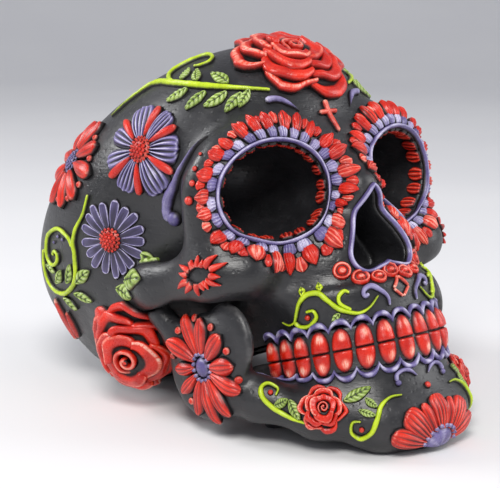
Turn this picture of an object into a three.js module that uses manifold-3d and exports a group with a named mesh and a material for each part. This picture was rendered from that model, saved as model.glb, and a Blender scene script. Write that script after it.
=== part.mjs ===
// A painted cast skull decoration. The bone is one smoothly blended form, cut flat where it rests.
// Flowers, roses, vines, teeth and petal rings are raised pieces seated on the bone.
// Millimetres, +Z up. The face looks along -Y and the skull's right side is at -X.
import * as THREE from "three";
import { mergeVertices } from "three/addons/utils/BufferGeometryUtils.js";
import Module from "manifold-3d";

const wasm = await Module();
wasm.setup();

// The bone's proportions. Every place and radius on the bone is a share of these three:
// across the skull, from back to front, and from the base up, in the skull's own upright frame.
const widthUnit = 100;
const lengthUnit = 100;
const heightUnit = 100;

// How the skull leans back on its stand, in degrees, and where its centre stands
const leanTurn = 22;
const setbackShare = 0.3;
const riseShare = 0.72;

// Clearances and cutting
const seatGap = 0.3;
const seatLift = 0.7;
const jawGap = 0.6;
const overrun = 20;

// The hollow casting
const pourHoleRadius = 12;
const pourHoleShares = { back: -0.29, up: 0.3 };

// Relief heights of the modelled ornament
const petalRelief = 1.7;
const valleyRelief = 0.8;
const edgeRelief = 0.5;
const roseRelief = 4.8;
const hubRelief = 1.1;
const domeRelief = 1.6;
const vineWidth = 2.2;
const vineRelief = 1.3;
const pipingWidth = 1.9;
const pipingRelief = 1.2;

// Sizes of the single ornaments
const crownRoseRadius = 21;
const rearRoseRadius = 19.3;
const jawRoseRadius = 8;
const stripedDaisyRadius = 17.5;
const lavenderDaisyRadius = 15;
const sideFlowerRadius = 19.5;
const ramusFlowerRadius = 19.5;
const chinFlowerRadius = 17.5;
const domeFitShare = 0.88;
const sunburstRadius = 8.5;
const diamondRadius = 2.6;
const leafLength = 7;
const strokeWidth = 3;
const beadRadius = 2.4;
const crossBar = 2.4;

// Bands round the eye sockets and the nose, measured outward from the cut edge
const rimWidth = 2.3;
const scallopWidth = 3.6;
const petalWidth = 7;
const noseRimWidth = 2.1;
const laceWidth = 2.8;

// Teeth
const teethPerSide = 8;
const toothDepth = 2.6;
const toothHeight = 8.4;
const toothArchHeight = 1.3;
const biteGap = 0.3;

// Counts
const scallopCount = 22;
const ringPetalCount = 24;
const stripedPetals = 10;
const lavenderPetals = 13;
const sidePetals = 9;
const ramusPetals = 12;
const chinPetals = 8;
const crownPetals = 7;
const rearPetals = 6;
const jawRosePetals = 5;
const sunburstRays = 11;
const laceScallops = 7;
const diamondPoints = 2;
const domeSides = 8;
const fanSides = 6;
const rimSteps = 22;
const socketSides = 24;
const cavitySides = 14;
const cutterRings = 8;
const boreSides = 20;
const stepsPerSpan = 1.5;
const craniumCells = 17;
const jawCells = 18;
const settleTurns = 7;
const quickTurns = 3;
const strideLength = 2.5;
const probe = 0.02;
const sliver = 0.1;

const lean = THREE.MathUtils.degToRad(leanTurn);
const acrossAxis = new THREE.Vector3(1, 0, 0);
const forwardAxis = new THREE.Vector3(0, -Math.cos(lean), Math.sin(lean));
const upAxis = new THREE.Vector3(0, Math.sin(lean), Math.cos(lean));
const headCentre = new THREE.Vector3(0, setbackShare * lengthUnit, riseShare * heightUnit);

// A place given in shares of the three units, as a point in the standing frame
function place(across, forward, up) {
  return headCentre
    .clone()
    .addScaledVector(acrossAxis, across * widthUnit)
    .addScaledVector(forwardAxis, forward * lengthUnit)
    .addScaledVector(upAxis, up * heightUnit);
}

// The bone's own coordinates of a standing point, folded onto one side
function boneCoordinates(point) {
  const offset = point.clone().sub(headCentre);
  return [Math.abs(offset.x), offset.dot(forwardAxis), offset.dot(upAxis)];
}

// Smooth joins and cuts of two signed distances
function joinSmooth(first, second, blend) {
  const overlap = Math.max(blend - Math.abs(first - second), 0);
  return Math.min(first, second) - (overlap * overlap) / (blend * 4);
}

function cutSmooth(body, cutter, blend) {
  return -joinSmooth(-body, cutter, blend);
}

// An ellipsoid that may be turned sideways and tilted
function ellipsoid({ at, radii, tilt = 0, yaw = 0 }) {
  const centre = [at[0] * widthUnit, at[1] * lengthUnit, at[2] * heightUnit];
  const reach = [radii[0] * widthUnit, radii[1] * lengthUnit, radii[2] * heightUnit];
  const tiltAngle = THREE.MathUtils.degToRad(tilt);
  const yawAngle = THREE.MathUtils.degToRad(yaw);
  const [tiltCos, tiltSin] = [Math.cos(tiltAngle), Math.sin(tiltAngle)];
  const [yawCos, yawSin] = [Math.cos(yawAngle), Math.sin(yawAngle)];
  const measure = (across, forward, up) => {
    const x = across - centre[0];
    const f = forward - centre[1];
    const u = up - centre[2];
    const side = x * yawCos - f * yawSin;
    const ahead = x * yawSin + f * yawCos;
    const a = side / reach[0];
    const b = (ahead * tiltCos + u * tiltSin) / reach[1];
    const c = (u * tiltCos - ahead * tiltSin) / reach[2];
    const ratio = Math.hypot(a, b, c);
    const slope = Math.hypot(a / reach[0], b / reach[1], c / reach[2]);
    return slope > 0 ? (ratio * (ratio - 1)) / slope : -Math.min(...reach);
  };
  const surfacePoint = (a, b, c) => {
    const ahead = b * reach[1] * tiltCos - c * reach[2] * tiltSin;
    const up = b * reach[1] * tiltSin + c * reach[2] * tiltCos;
    const x = centre[0] + a * reach[0] * yawCos + ahead * yawSin;
    const f = centre[1] - a * reach[0] * yawSin + ahead * yawCos;
    return headCentre
      .clone()
      .addScaledVector(acrossAxis, x)
      .addScaledVector(forwardAxis, f)
      .addScaledVector(upAxis, centre[2] + up);
  };
  return { measure, surfacePoint };
}

// A round bar between two places, thinner across by its flatness
const postFlatness = 1.3;
const cheekFlatness = 1.5;
const limb = (entry) => flattenedLimb(entry, 1);
const postLimb = (entry) => flattenedLimb(entry, postFlatness);
const cheekLimb = (entry) => flattenedLimb(entry, cheekFlatness);

function flattenedLimb({ from, to, radii }, flatness) {
  const start = [from[0] * widthUnit * flatness, from[1] * lengthUnit, from[2] * heightUnit];
  const end = [to[0] * widthUnit * flatness, to[1] * lengthUnit, to[2] * heightUnit];
  const run = end.map((value, axis) => value - start[axis]);
  const runSquared = run.reduce((sum, value) => sum + value * value, 0);
  const measure = (across, forward, up) => {
    const x = across * flatness - start[0];
    const f = forward - start[1];
    const u = up - start[2];
    const along = THREE.MathUtils.clamp((x * run[0] + f * run[1] + u * run[2]) / runSquared, 0, 1);
    const radius = THREE.MathUtils.lerp(radii[0], radii[1], along) * heightUnit;
    return Math.hypot(x - run[0] * along, f - run[1] * along, u - run[2] * along) - radius;
  };
  return { measure };
}

// An upright disc that faces sideways, for the flat branch of the jaw
function sideDisc({ at, radius, halfThickness, rounding }) {
  const measure = (across, forward, up) => {
    const face = Math.abs(across - at[0] * widthUnit) - halfThickness * widthUnit;
    const rim = Math.hypot(forward - at[1] * lengthUnit, up - at[2] * heightUnit);
    return cutSmooth(face, radius * heightUnit - rim, rounding * heightUnit);
  };
  return { measure };
}

// The dental arch in plan: a half ellipse in front and straight legs behind
const archShares = { halfWidth: 0.296, front: 0.858, bend: 0.608, back: 0.2, lastTooth: 0.43 };
const jawArchShares = { halfWidth: 0.258, front: 0.82, bend: 0.61, halfWall: 0.035, back: 0.3 };
const biteShares = { front: 0.878, up: -0.71, slope: 0.07 };

function archDistance(shares, across, forward) {
  const halfWidth = shares.halfWidth * widthUnit;
  const depth = (shares.front - shares.bend) * lengthUnit;
  const ahead = Math.max(forward - shares.bend * lengthUnit, 0);
  if (ahead === 0) {
    return across - halfWidth;
  }
  const ratio = Math.hypot(across / halfWidth, ahead / depth);
  const slope = Math.hypot(across / (halfWidth * halfWidth), ahead / (depth * depth));
  return (ratio * (ratio - 1)) / slope;
}

// Height above the plane where upper and lower teeth meet
function aboveBite(forward, up) {
  const drop = (biteShares.front * lengthUnit - forward) * biteShares.slope;
  return up - biteShares.up * heightUnit - drop;
}

// The ridge of bone that carries the upper teeth
function upperRidge({ low, high, rounding }) {
  const measure = (across, forward, up) => {
    const level = aboveBite(forward, up);
    const middle = ((low + high) / 2) * heightUnit;
    const band = Math.abs(level - middle) - ((high - low) / 2) * heightUnit;
    const outside = archDistance(archShares, across, forward);
    const walled = cutSmooth(outside, -band, rounding * heightUnit);
    return cutSmooth(walled, forward - archShares.back * lengthUnit, rounding * heightUnit);
  };
  return { measure };
}

// The upright wall of the jaw under the lower teeth
function jawWall({ low, high, rounding }) {
  const measure = (across, forward, up) => {
    const level = aboveBite(forward, up);
    const middle = ((low + high) / 2) * heightUnit;
    const band = Math.abs(level - middle) - ((high - low) / 2) * heightUnit;
    const centreLine = archDistance(jawArchShares, across, forward);
    const sheet = Math.abs(centreLine) - jawArchShares.halfWall * widthUnit;
    const walled = cutSmooth(sheet, -band, rounding * heightUnit);
    return cutSmooth(walled, forward - jawArchShares.back * lengthUnit, rounding * heightUnit);
  };
  return { measure };
}

// The braincase, brow, cheeks and upper jaw, in the order in which they are blended
const craniumShares = [
  { form: ellipsoid, at: [0, -0.12, 0], radii: [0.61, 0.84, 0.47], tilt: 18, blend: 0.01 },
  { form: ellipsoid, at: [0, -0.14, -0.2], radii: [0.56, 0.6, 0.42], tilt: 8, blend: 0.14 },
  { form: ellipsoid, at: [0, 0.34, 0.04], radii: [0.46, 0.35, 0.38], blend: 0.14 },
  { form: ellipsoid, at: [0, -0.32, -0.38], radii: [0.42, 0.42, 0.26], blend: 0.14 },
  { form: ellipsoid, at: [0.47, -0.08, -0.45], radii: [0.11, 0.14, 0.16], blend: 0.12 },
  { form: ellipsoid, at: [0.28, 0.58, -0.09], radii: [0.29, 0.13, 0.26], tilt: -22, yaw: 14, blend: 0.1 },
  { form: postLimb, from: [0.47, 0.52, -0.08], to: [0.5, 0.48, -0.32], radii: [0.08, 0.09], blend: 0.08 },
  { form: ellipsoid, at: [0.41, 0.55, -0.36], radii: [0.13, 0.12, 0.105], blend: 0.08 },
  { form: ellipsoid, at: [0, 0.51, -0.4], radii: [0.33, 0.32, 0.31], blend: 0.09 },
  { form: limb, from: [0, 0.66, 0], to: [0, 0.8, -0.16], radii: [0.09, 0.06], blend: 0.08 },
  { form: ellipsoid, cut: true, at: [0.7, 0.3, -0.06], radii: [0.18, 0.18, 0.15], blend: 0.1 },
  { form: upperRidge, low: 0.004, high: 0.196, rounding: 0.02, blend: 0.09 },
  { form: cheekLimb, from: [0.51, 0.48, -0.33], to: [0.56, 0.2, -0.31], radii: [0.09, 0.06], blend: 0.07 },
  { form: cheekLimb, from: [0.56, 0.2, -0.31], to: [0.52, 0.04, -0.32], radii: [0.06, 0.06], blend: 0.09 },
  { form: ellipsoid, cut: true, at: [0.49, 0.5, -0.6], radii: [0.15, 0.22, 0.14], blend: 0.06 },
  { form: ellipsoid, cut: true, at: [0.45, 0.3, -0.52], radii: [0.08, 0.17, 0.18], blend: 0.04 },
  { form: ellipsoid, cut: true, at: [0, 0.44, -0.72], radii: [0.2, 0.3, 0.15], blend: 0.03 },
];

// The lower jaw: its curved body, chin, tooth wall, flat branch and joint head
const jawShares = [
  { form: limb, from: [0.45, 0.34, -0.74], to: [0.41, 0.46, -0.79], radii: [0.06, 0.07], blend: 0.01 },
  { form: limb, from: [0.41, 0.46, -0.79], to: [0.29, 0.62, -0.89], radii: [0.07, 0.08], blend: 0.06 },
  { form: limb, from: [0.29, 0.62, -0.89], to: [0.15, 0.74, -0.967], radii: [0.08, 0.09], blend: 0.06 },
  { form: limb, from: [0.15, 0.74, -0.967], to: [0, 0.78, -0.982], radii: [0.09, 0.095], blend: 0.06 },
  { form: ellipsoid, at: [0, 0.785, -0.997], radii: [0.17, 0.085, 0.08], blend: 0.08 },
  { form: jawWall, low: -0.236, high: -0.004, rounding: 0.02, blend: 0.07 },
  { form: sideDisc, at: [0.47, 0.31, -0.64], radius: 0.19, halfThickness: 0.04, rounding: 0.03, blend: 0.05 },
  { form: ellipsoid, at: [0.47, 0.46, -0.57], radii: [0.04, 0.12, 0.13], blend: 0.04 },
  { form: limb, from: [0.475, 0.24, -0.58], to: [0.51, 0.15, -0.41], radii: [0.045, 0.045], blend: 0.05 },
];

// Openings
const socketShares = { at: [0.285, 0.63, -0.095], radii: [0.205, 0.32, 0.17], tilt: -22, yaw: 14 };
const cavityShares = { at: [0, -0.2, -0.03], radii: [0.52, 0.5, 0.4], tilt: 18 };
const noseFloorShare = 0.62;

function blendedBone(shares) {
  const steps = shares.map((entry) => ({
    measure: entry.form(entry).measure,
    blend: entry.blend * heightUnit,
    cut: Boolean(entry.cut),
  }));
  return (across, forward, up) => {
    let distance = steps[0].measure(across, forward, up);
    for (const step of steps.slice(1)) {
      const other = step.measure(across, forward, up);
      distance = step.cut
        ? cutSmooth(distance, other, step.blend)
        : joinSmooth(distance, other, step.blend);
    }
    return distance;
  };
}

const craniumMeasure = blendedBone(craniumShares);
const jawMeasure = blendedBone(jawShares);
const jawSeatBlend = 0.5;

const craniumBone = (point) => craniumMeasure(...boneCoordinates(point));
const jawBone = (point) => {
  const coordinates = boneCoordinates(point);
  const clear = craniumMeasure(...coordinates) - jawGap;
  return cutSmooth(jawMeasure(...coordinates), clear, jawSeatBlend);
};

// The outward slope of a bone at a point
function slopeAt(bone, point) {
  const slope = new THREE.Vector3();
  for (const axis of ["x", "y", "z"]) {
    const ahead = point.clone();
    const behind = point.clone();
    ahead[axis] += probe;
    behind[axis] -= probe;
    slope[axis] = (bone(ahead) - bone(behind)) / (probe + probe);
  }
  return slope;
}

// Move a point along the slope until it lies on the bone
function settle(bone, start, turns = settleTurns) {
  const point = start.clone();
  let normal = slopeAt(bone, point);
  for (let turn = 0; turn < turns; turn += 1) {
    point.addScaledVector(normal, -bone(point) / normal.lengthSq());
    normal = slopeAt(bone, point);
  }
  return { point, normal: normal.normalize() };
}

// March from outside the bone in a direction until the bone is met
function strike(bone, start, direction) {
  const point = start.clone();
  const heading = direction.clone().normalize();
  const cautionShare = 0.6;
  const marchLimit = 400;
  for (let step = 0; step < marchLimit; step += 1) {
    const distance = bone(point);
    if (distance < probe) {
      break;
    }
    point.addScaledVector(heading, distance * cautionShare);
  }
  return settle(bone, point);
}

// The bone met from outside on the line from a centre through a place, both in shares
function towards(bone, centreShares, placeShares) {
  const centre = place(...centreShares);
  const target = place(...placeShares);
  const outward = target.clone().sub(centre).normalize();
  const farOut = target.clone().addScaledVector(outward, lengthUnit);
  return strike(bone, farOut, outward.negate());
}

// A chart walks over the bone from a seat: a distance across and along it gives a point and normal
function chartAt(bone, seat, heading) {
  const along = heading.clone().projectOnPlane(seat.normal).normalize();
  const across = along.clone().cross(seat.normal);
  return (sideways, ahead, height) => {
    const reach = Math.hypot(sideways, ahead);
    const steps = Math.max(1, Math.ceil(reach / strideLength));
    const direction = across.clone().multiplyScalar(sideways).addScaledVector(along, ahead);
    direction.normalize();
    let spot = { point: seat.point.clone(), normal: seat.normal.clone() };
    for (let step = 0; step < steps && reach > 0; step += 1) {
      spot = settle(bone, spot.point.clone().addScaledVector(direction, reach / steps), quickTurns);
      direction.projectOnPlane(spot.normal).normalize();
    }
    return spot.point.addScaledVector(spot.normal, height);
  };
}

// Close a loose list of triangles into a clean geometry whose faces point out
function closedGeometry(corners) {
  const raw = new THREE.BufferGeometry();
  raw.setAttribute("position", new THREE.Float32BufferAttribute(corners.flatMap((c) => c.toArray()), 3));
  const tolerance = probe / 10;
  const merged = mergeVertices(raw, tolerance);
  const index = merged.index.array;
  const kept = [];
  for (let at = 0; at < index.length; at += 3) {
    const [a, b, c] = index.slice(at, at + 3);
    if (a !== b && b !== c && c !== a) {
      kept.push(a, b, c);
    }
  }
  const position = merged.attributes.position;
  const corner = (which) => new THREE.Vector3().fromBufferAttribute(position, which);
  let volume = 0;
  for (let at = 0; at < kept.length; at += 3) {
    volume += corner(kept[at]).dot(corner(kept[at + 1]).cross(corner(kept[at + 2])));
  }
  if (volume < 0) {
    kept.reverse();
  }
  merged.setIndex(kept);
  return merged;
}

// A solid sheet between a top grid and a coarser grid below it.
// Columns may close into a ring. Rows run across each column.
function sheetSolid({ columns, ring, topRows, bottomRows, point }) {
  const corners = [];
  const quad = (a, b, c, d) => corners.push(a, b, c, a, c, d);
  const top = [];
  const bottom = [];
  const columnCount = ring ? columns : columns + 1;
  for (let column = 0; column < columnCount; column += 1) {
    top.push(topRows.map((row) => point(column, row, true)));
    bottom.push(bottomRows.map((row) => point(column, row, false)));
  }
  const strip = (left, right, flip) => {
    for (let row = 0; row + 1 < left.length; row += 1) {
      if (flip) {
        quad(left[row], right[row], right[row + 1], left[row + 1]);
      } else {
        quad(left[row], left[row + 1], right[row + 1], right[row]);
      }
    }
  };
  for (let column = 0; column < columns; column += 1) {
    const next = (column + 1) % columnCount;
    strip(top[column], top[next], false);
    strip(bottom[column], bottom[next], true);
    const [topHere, topNext] = [top[column], top[next]];
    const [lowHere, lowNext] = [bottom[column], bottom[next]];
    quad(topHere[0], topNext[0], lowNext[0], lowHere[0]);
    quad(topHere.at(-1), lowHere.at(-1), lowNext.at(-1), topNext.at(-1));
  }
  if (!ring) {
    const cap = (topEdge, lowEdge, flip) => {
      const outline = [...topEdge, ...[...lowEdge].reverse()];
      for (let at = 1; at + 1 < outline.length; at += 1) {
        const face = [outline[0], outline[at], outline[at + 1]];
        corners.push(...(flip ? face.reverse() : face));
      }
    };
    cap(top[0], bottom[0], true);
    cap(top.at(-1), bottom.at(-1), false);
  }
  return closedGeometry(corners);
}

// Booleans
function solidOf(geometry) {
  const bare = geometry.clone();
  bare.deleteAttribute("normal");
  bare.deleteAttribute("uv");
  const merged = mergeVertices(bare);
  return new wasm.Manifold(
    new wasm.Mesh({
      numProp: 3,
      vertProperties: new Float32Array(merged.attributes.position.array),
      triVerts: new Uint32Array(merged.index.array),
    }),
  );
}

function geometryOf(solid) {
  const mesh = solid.simplify(sliver).getMesh();
  const geometry = new THREE.BufferGeometry();
  geometry.setAttribute("position", new THREE.BufferAttribute(mesh.vertProperties, 3));
  geometry.setIndex(new THREE.BufferAttribute(mesh.triVerts, 1));
  return geometry;
}

function joined(geometries) {
  return geometryOf(geometries.map(solidOf).reduce((sum, solid) => sum.add(solid)));
}

function carved(body, cutters) {
  return geometryOf(cutters.map(solidOf).reduce((rest, cutter) => rest.subtract(cutter), solidOf(body)));
}

// Evenly spaced stations whose cells grow by a ratio towards the end
function stations(start, end, cell, growth) {
  const list = [start];
  let width = cell;
  while (list.at(-1) < end) {
    list.push(list.at(-1) + width);
    width *= growth;
  }
  const stretch = (end - start) / (list.at(-1) - start);
  return list.map((value) => start + (value - start) * stretch);
}

// The eight corners of a grid cell, and which of its inside corners hang together along its edges
const cellCorners = Array.from({ length: 8 }, (unused, at) => [at & 1, (at >> 1) & 1, at >> 2]);
const knownParts = new Map();

function partsOfPattern(pattern) {
  if (!knownParts.has(pattern)) {
    const parts = cellCorners.map(() => -1);
    const spread = (corner, part) => {
      if (pattern & (1 << corner) && parts[corner] < 0) {
        parts[corner] = part;
        [1, 2, 4].forEach((bit) => spread(corner ^ bit, part));
      }
    };
    cellCorners.forEach((unused, corner) => spread(corner, corner));
    knownParts.set(pattern, parts);
  }
  return knownParts.get(pattern);
}

// The bone's distances at every corner of a grid
function sampledGrid(bone, axes) {
  const sizes = axes.map((axis) => axis.length);
  const at = (i, j, k) => (i * sizes[1] + j) * sizes[2] + k;
  const values = new Float64Array(sizes[0] * sizes[1] * sizes[2]);
  const corner = new THREE.Vector3();
  for (let i = 0; i < sizes[0]; i += 1) {
    for (let j = 0; j < sizes[1]; j += 1) {
      for (let k = 0; k < sizes[2]; k += 1) {
        values[at(i, j, k)] = bone(corner.set(axes[0][i], axes[1][j], axes[2][k]));
      }
    }
  }
  return { axes, sizes, valueAt: (cell) => values[at(...cell)] };
}

// The middle of the points where the surface of one part of a cell crosses the cell's edges
function partMiddle({ axes, valueAt }, cell, parts, part) {
  const middle = new THREE.Vector3();
  let count = 0;
  cellCorners.forEach((offset, corner) => {
    if (parts[corner] !== part) {
      return;
    }
    [1, 2, 4].forEach((bit, axis) => {
      const other = cellCorners[corner ^ bit];
      const start = cell.map((index, which) => index + offset[which]);
      const end = cell.map((index, which) => index + other[which]);
      const [first, second] = [valueAt(start), valueAt(end)];
      if (second >= 0) {
        const crossing = start.map((index, which) => axes[which][index]);
        crossing[axis] += ((axes[axis][end[axis]] - crossing[axis]) * first) / (first - second);
        middle.add(new THREE.Vector3(...crossing));
        count += 1;
      }
    });
  });
  return middle.divideScalar(count);
}

// Wrap a bone in a mesh: one vertex for each part of the surface in a grid cell, settled on the bone
function skinOf(bone, axes) {
  const grid = sampledGrid(bone, axes);
  const vertices = new Map();
  const vertexOf = (cell, insideCorner) => {
    let pattern = 0;
    cellCorners.forEach((offset, corner) => {
      const inside = grid.valueAt(cell.map((index, which) => index + offset[which])) < 0;
      pattern |= inside ? 1 << corner : 0;
    });
    const parts = partsOfPattern(pattern);
    const local = insideCorner.map((index, which) => index - cell[which]);
    const part = parts[local[0] + local[1] * 2 + local[2] * 4];
    const key = [...cell, part].join();
    if (!vertices.has(key)) {
      vertices.set(key, settle(bone, partMiddle(grid, cell, parts, part), quickTurns).point);
    }
    return vertices.get(key);
  };
  const corners = [];
  const addFace = (corner, axis) => {
    const next = corner.map((index, which) => index + (which === axis ? 1 : 0));
    const here = grid.valueAt(corner) < 0;
    if (here === grid.valueAt(next) < 0) {
      return;
    }
    const insideCorner = here ? corner : next;
    const around = [[0, 0], [1, 0], [1, 1], [0, 1]].map(([back, side]) => {
      const cell = [...corner];
      cell[(axis + 1) % 3] -= back;
      cell[(axis + 2) % 3] -= side;
      return vertexOf(cell, insideCorner);
    });
    const [a, b, c, d] = here ? around : around.reverse();
    corners.push(...(a.distanceTo(c) < b.distanceTo(d) ? [a, b, c, a, c, d] : [b, c, d, b, d, a]));
  };
  for (let i = 1; i + 1 < grid.sizes[0]; i += 1) {
    for (let j = 1; j + 1 < grid.sizes[1]; j += 1) {
      for (let k = 1; k + 1 < grid.sizes[2]; k += 1) {
        [0, 1, 2].forEach((axis) => addFace([i, j, k], axis));
      }
    }
  }
  return closedGeometry(corners);
}

// Whether every edge is shared by exactly two faces that run opposite ways along it
function everyEdgePaired(geometry) {
  const index = geometry.index.array;
  const seen = new Set();
  for (let at = 0; at < index.length; at += 3) {
    for (let edge = 0; edge < 3; edge += 1) {
      const key = `${index[at + edge]} ${index[at + ((edge + 1) % 3)]}`;
      if (seen.has(key)) {
        return false;
      }
      seen.add(key);
    }
  }
  return [...seen].every((key) => seen.has(key.split(" ").reverse().join(" ")));
}

// Wrap a bone on a grid, made finer until the mesh closes on itself everywhere
function closedSkin(bone, boxShares, growth, cellsAcross) {
  const units = [widthUnit, lengthUnit, heightUnit];
  const finest = cellsAcross + 12;
  for (let cells = cellsAcross; cells < finest; cells += 1) {
    const cell = ((boxShares.high[0] - boxShares.low[0]) * widthUnit) / cells;
    const axes = units.map((unit, axis) =>
      stations(boxShares.low[axis] * unit, boxShares.high[axis] * unit, cell, growth[axis]),
    );
    const skin = skinOf(bone, axes);
    if (everyEdgePaired(skin)) {
      return skin;
    }
  }
  throw new Error("the bone could not be wrapped in a closed mesh");
}

// The nose opening: a pear with two lower lobes, as a closed outline in shares of width and height
const noseShares = {
  top: -0.171,
  shoulder: [0.052, -0.225],
  side: [0.128, -0.352],
  low: [0.095, -0.452],
  septum: -0.43,
};

function noseOutline() {
  const at = ([across, up]) => [across * widthUnit, up * heightUnit];
  const [shoulder, side, low] = [at(noseShares.shoulder), at(noseShares.side), at(noseShares.low)];
  const top = noseShares.top * heightUnit;
  const septum = noseShares.septum * heightUnit;
  const half = new THREE.SplineCurve([
    new THREE.Vector2(0, top),
    new THREE.Vector2(...shoulder),
    new THREE.Vector2(...side),
    new THREE.Vector2((side[0] + low[0]) / 2 + (side[0] - low[0]) / 4, (side[1] + low[1]) / 2),
    new THREE.Vector2(...low),
    new THREE.Vector2(low[0] / 3, (low[1] + septum) / 2),
    new THREE.Vector2(0, septum),
  ]);
  const halfSteps = 12;
  const points = half.getSpacedPoints(halfSteps);
  const mirrored = points.slice(1, -1).reverse().map((p) => new THREE.Vector2(-p.x, p.y));
  return [...points, ...mirrored];
}

const nosePoints = noseOutline();

// Distance in the front view from a standing point to the nose outline, negative inside it
function noseDistance(point) {
  const offset = point.clone().sub(headCentre);
  const spot = new THREE.Vector2(offset.x, offset.dot(upAxis));
  let nearest = Infinity;
  let inside = false;
  nosePoints.forEach((a, index) => {
    const b = nosePoints[(index + 1) % nosePoints.length];
    const run = b.clone().sub(a);
    const along = THREE.MathUtils.clamp(spot.clone().sub(a).dot(run) / run.lengthSq(), 0, 1);
    nearest = Math.min(nearest, spot.distanceTo(a.clone().addScaledVector(run, along)));
    if (a.y > spot.y !== b.y > spot.y && spot.x < a.x + (run.x * (spot.y - a.y)) / run.y) {
      inside = !inside;
    }
  });
  return inside ? -nearest : nearest;
}

// Cutters
function noseCutter() {
  const depth = lengthUnit * (1 - noseFloorShare);
  const prism = new THREE.ExtrudeGeometry(new THREE.Shape(nosePoints), { depth, bevelEnabled: false });
  const frame = new THREE.Matrix4().makeBasis(acrossAxis, upAxis, forwardAxis);
  frame.setPosition(place(0, noseFloorShare, 0));
  return prism.applyMatrix4(frame);
}

function ellipsoidSolid(shares, sides) {
  const form = ellipsoid(shares);
  const sphere = new THREE.SphereGeometry(1, sides, cutterRings);
  sphere.deleteAttribute("normal");
  sphere.deleteAttribute("uv");
  const merged = mergeVertices(sphere);
  const position = merged.attributes.position;
  for (let at = 0; at < position.count; at += 1) {
    const placed = form.surfacePoint(position.getX(at), position.getY(at), position.getZ(at));
    position.setXYZ(at, placed.x, placed.y, placed.z);
  }
  merged.index.array.reverse();
  return merged;
}

function mirroredGeometry(geometry) {
  const copy = geometry.clone();
  copy.scale(-1, 1, 1);
  copy.index.array.reverse();
  return copy;
}

// Everything below the floor, so that the skull rests on flat faces
function floorCutter() {
  const span = (widthUnit + lengthUnit + heightUnit) * 2;
  const block = new THREE.BoxGeometry(span, span, span);
  return block.translate(0, 0, -span / 2);
}

function pourHole() {
  const height = pourHoleShares.up * heightUnit + overrun;
  const bore = new THREE.CylinderGeometry(pourHoleRadius, pourHoleRadius, height, boreSides);
  bore.rotateX(Math.PI / 2);
  const middle = place(0, pourHoleShares.back, 0);
  return bore.translate(0, middle.y, height / 2 - overrun);
}

const craniumBoxShares = { low: [-0.7, -0.86, -0.16], high: [0.7, 1.22, 1.46] };
const jawBoxShares = { low: [-0.64, -1.02, -0.14], high: [0.64, 0.2, 0.62] };

const craniumSkin = closedSkin(craniumBone, craniumBoxShares, [1, 1.055, 1], craniumCells);
const jawSkin = closedSkin(jawBone, jawBoxShares, [1, 1, 1], jawCells);

// The same skin a clearance further out. Each corner moves so far that every face beside it
// moves out by at least the clearance.
function grownSkin(skin, clearance) {
  const position = skin.attributes.position;
  const index = skin.index.array;
  const corner = (which) => new THREE.Vector3().fromBufferAttribute(position, which);
  const facesBeside = Array.from({ length: position.count }, () => []);
  for (let at = 0; at < index.length; at += 3) {
    const [a, b, c] = index.slice(at, at + 3);
    const normal = new THREE.Triangle(corner(a), corner(b), corner(c)).getNormal(new THREE.Vector3());
    [a, b, c].forEach((which) => facesBeside[which].push(normal));
  }
  const grown = skin.clone();
  const steepestShare = 0.3;
  facesBeside.forEach((normals, which) => {
    const outward = normals.reduce((sum, normal) => sum.add(normal), new THREE.Vector3()).normalize();
    const steepest = Math.max(Math.min(...normals.map((normal) => normal.dot(outward))), steepestShare);
    const moved = corner(which).addScaledVector(outward, clearance / steepest);
    grown.attributes.position.setXYZ(which, moved.x, moved.y, moved.z);
  });
  return solidOf(grown);
}

const craniumSeat = { bone: craniumBone, grown: grownSkin(craniumSkin, seatGap) };
const jawSeat = { bone: jawBone, grown: grownSkin(jawSkin, seatGap) };

// Trim a raised piece, whose root lies inside the bone, so that it rests on the bone
function seated(geometry, seat) {
  const bodies = solidOf(geometry).subtract(seat.grown).decompose();
  return geometryOf(bodies.reduce((largest, body) => (body.volume() > largest.volume() ? body : largest)));
}

function craniumBody() {
  const socket = ellipsoidSolid(socketShares, socketSides);
  const cavity = ellipsoidSolid(cavityShares, cavitySides);
  const cutters = [floorCutter(), pourHole(), cavity, socket, mirroredGeometry(socket), noseCutter()];
  return carved(craniumSkin, cutters);
}

// Relief pieces drawn in polar form on a chart
function polar(chart, angle, radius, height) {
  return chart(radius * Math.cos(angle), radius * Math.sin(angle), height);
}

// A flower of rounded petals round a flat hub, whole or as a fan between two angles
const flowerShares = { hub: 0.3, belly: 0.7, notch: 0.8 };
const fullTurn = Math.PI * 2;

function flower(chart, petals, radius, { from = 0, to = fullTurn } = {}) {
  const whole = to - from >= fullTurn;
  const columns = petals * 2;
  const petalRows = [flowerShares.hub, flowerShares.belly, 1];
  const rowShares = whole ? [0, ...petalRows] : petalRows;
  const last = rowShares.length - 1;
  const point = (column, row, top) => {
    const notch = column % 2 === 0;
    const angle = from + (column / columns) * (to - from);
    const shrink = row === last && notch ? flowerShares.notch : 1;
    const outerHeights = notch ? [valleyRelief, edgeRelief] : [petalRelief, valleyRelief];
    const height = row > last - 2 ? outerHeights[row - last + 1] : hubRelief;
    return polar(chart, angle, rowShares[row] * radius * shrink, seatLift + (top ? height : 0));
  };
  const topRows = rowShares.map((share, row) => row);
  return sheetSolid({ columns, ring: whole, topRows, bottomRows: [0, last], point });
}

// The domed centre on a flower's hub, whole or cut off like its fan
const domeShares = [0, 0.62, 1];
const domeHeightShares = [1, 0.85, 0.35];
const domeClearance = 0.2;

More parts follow.
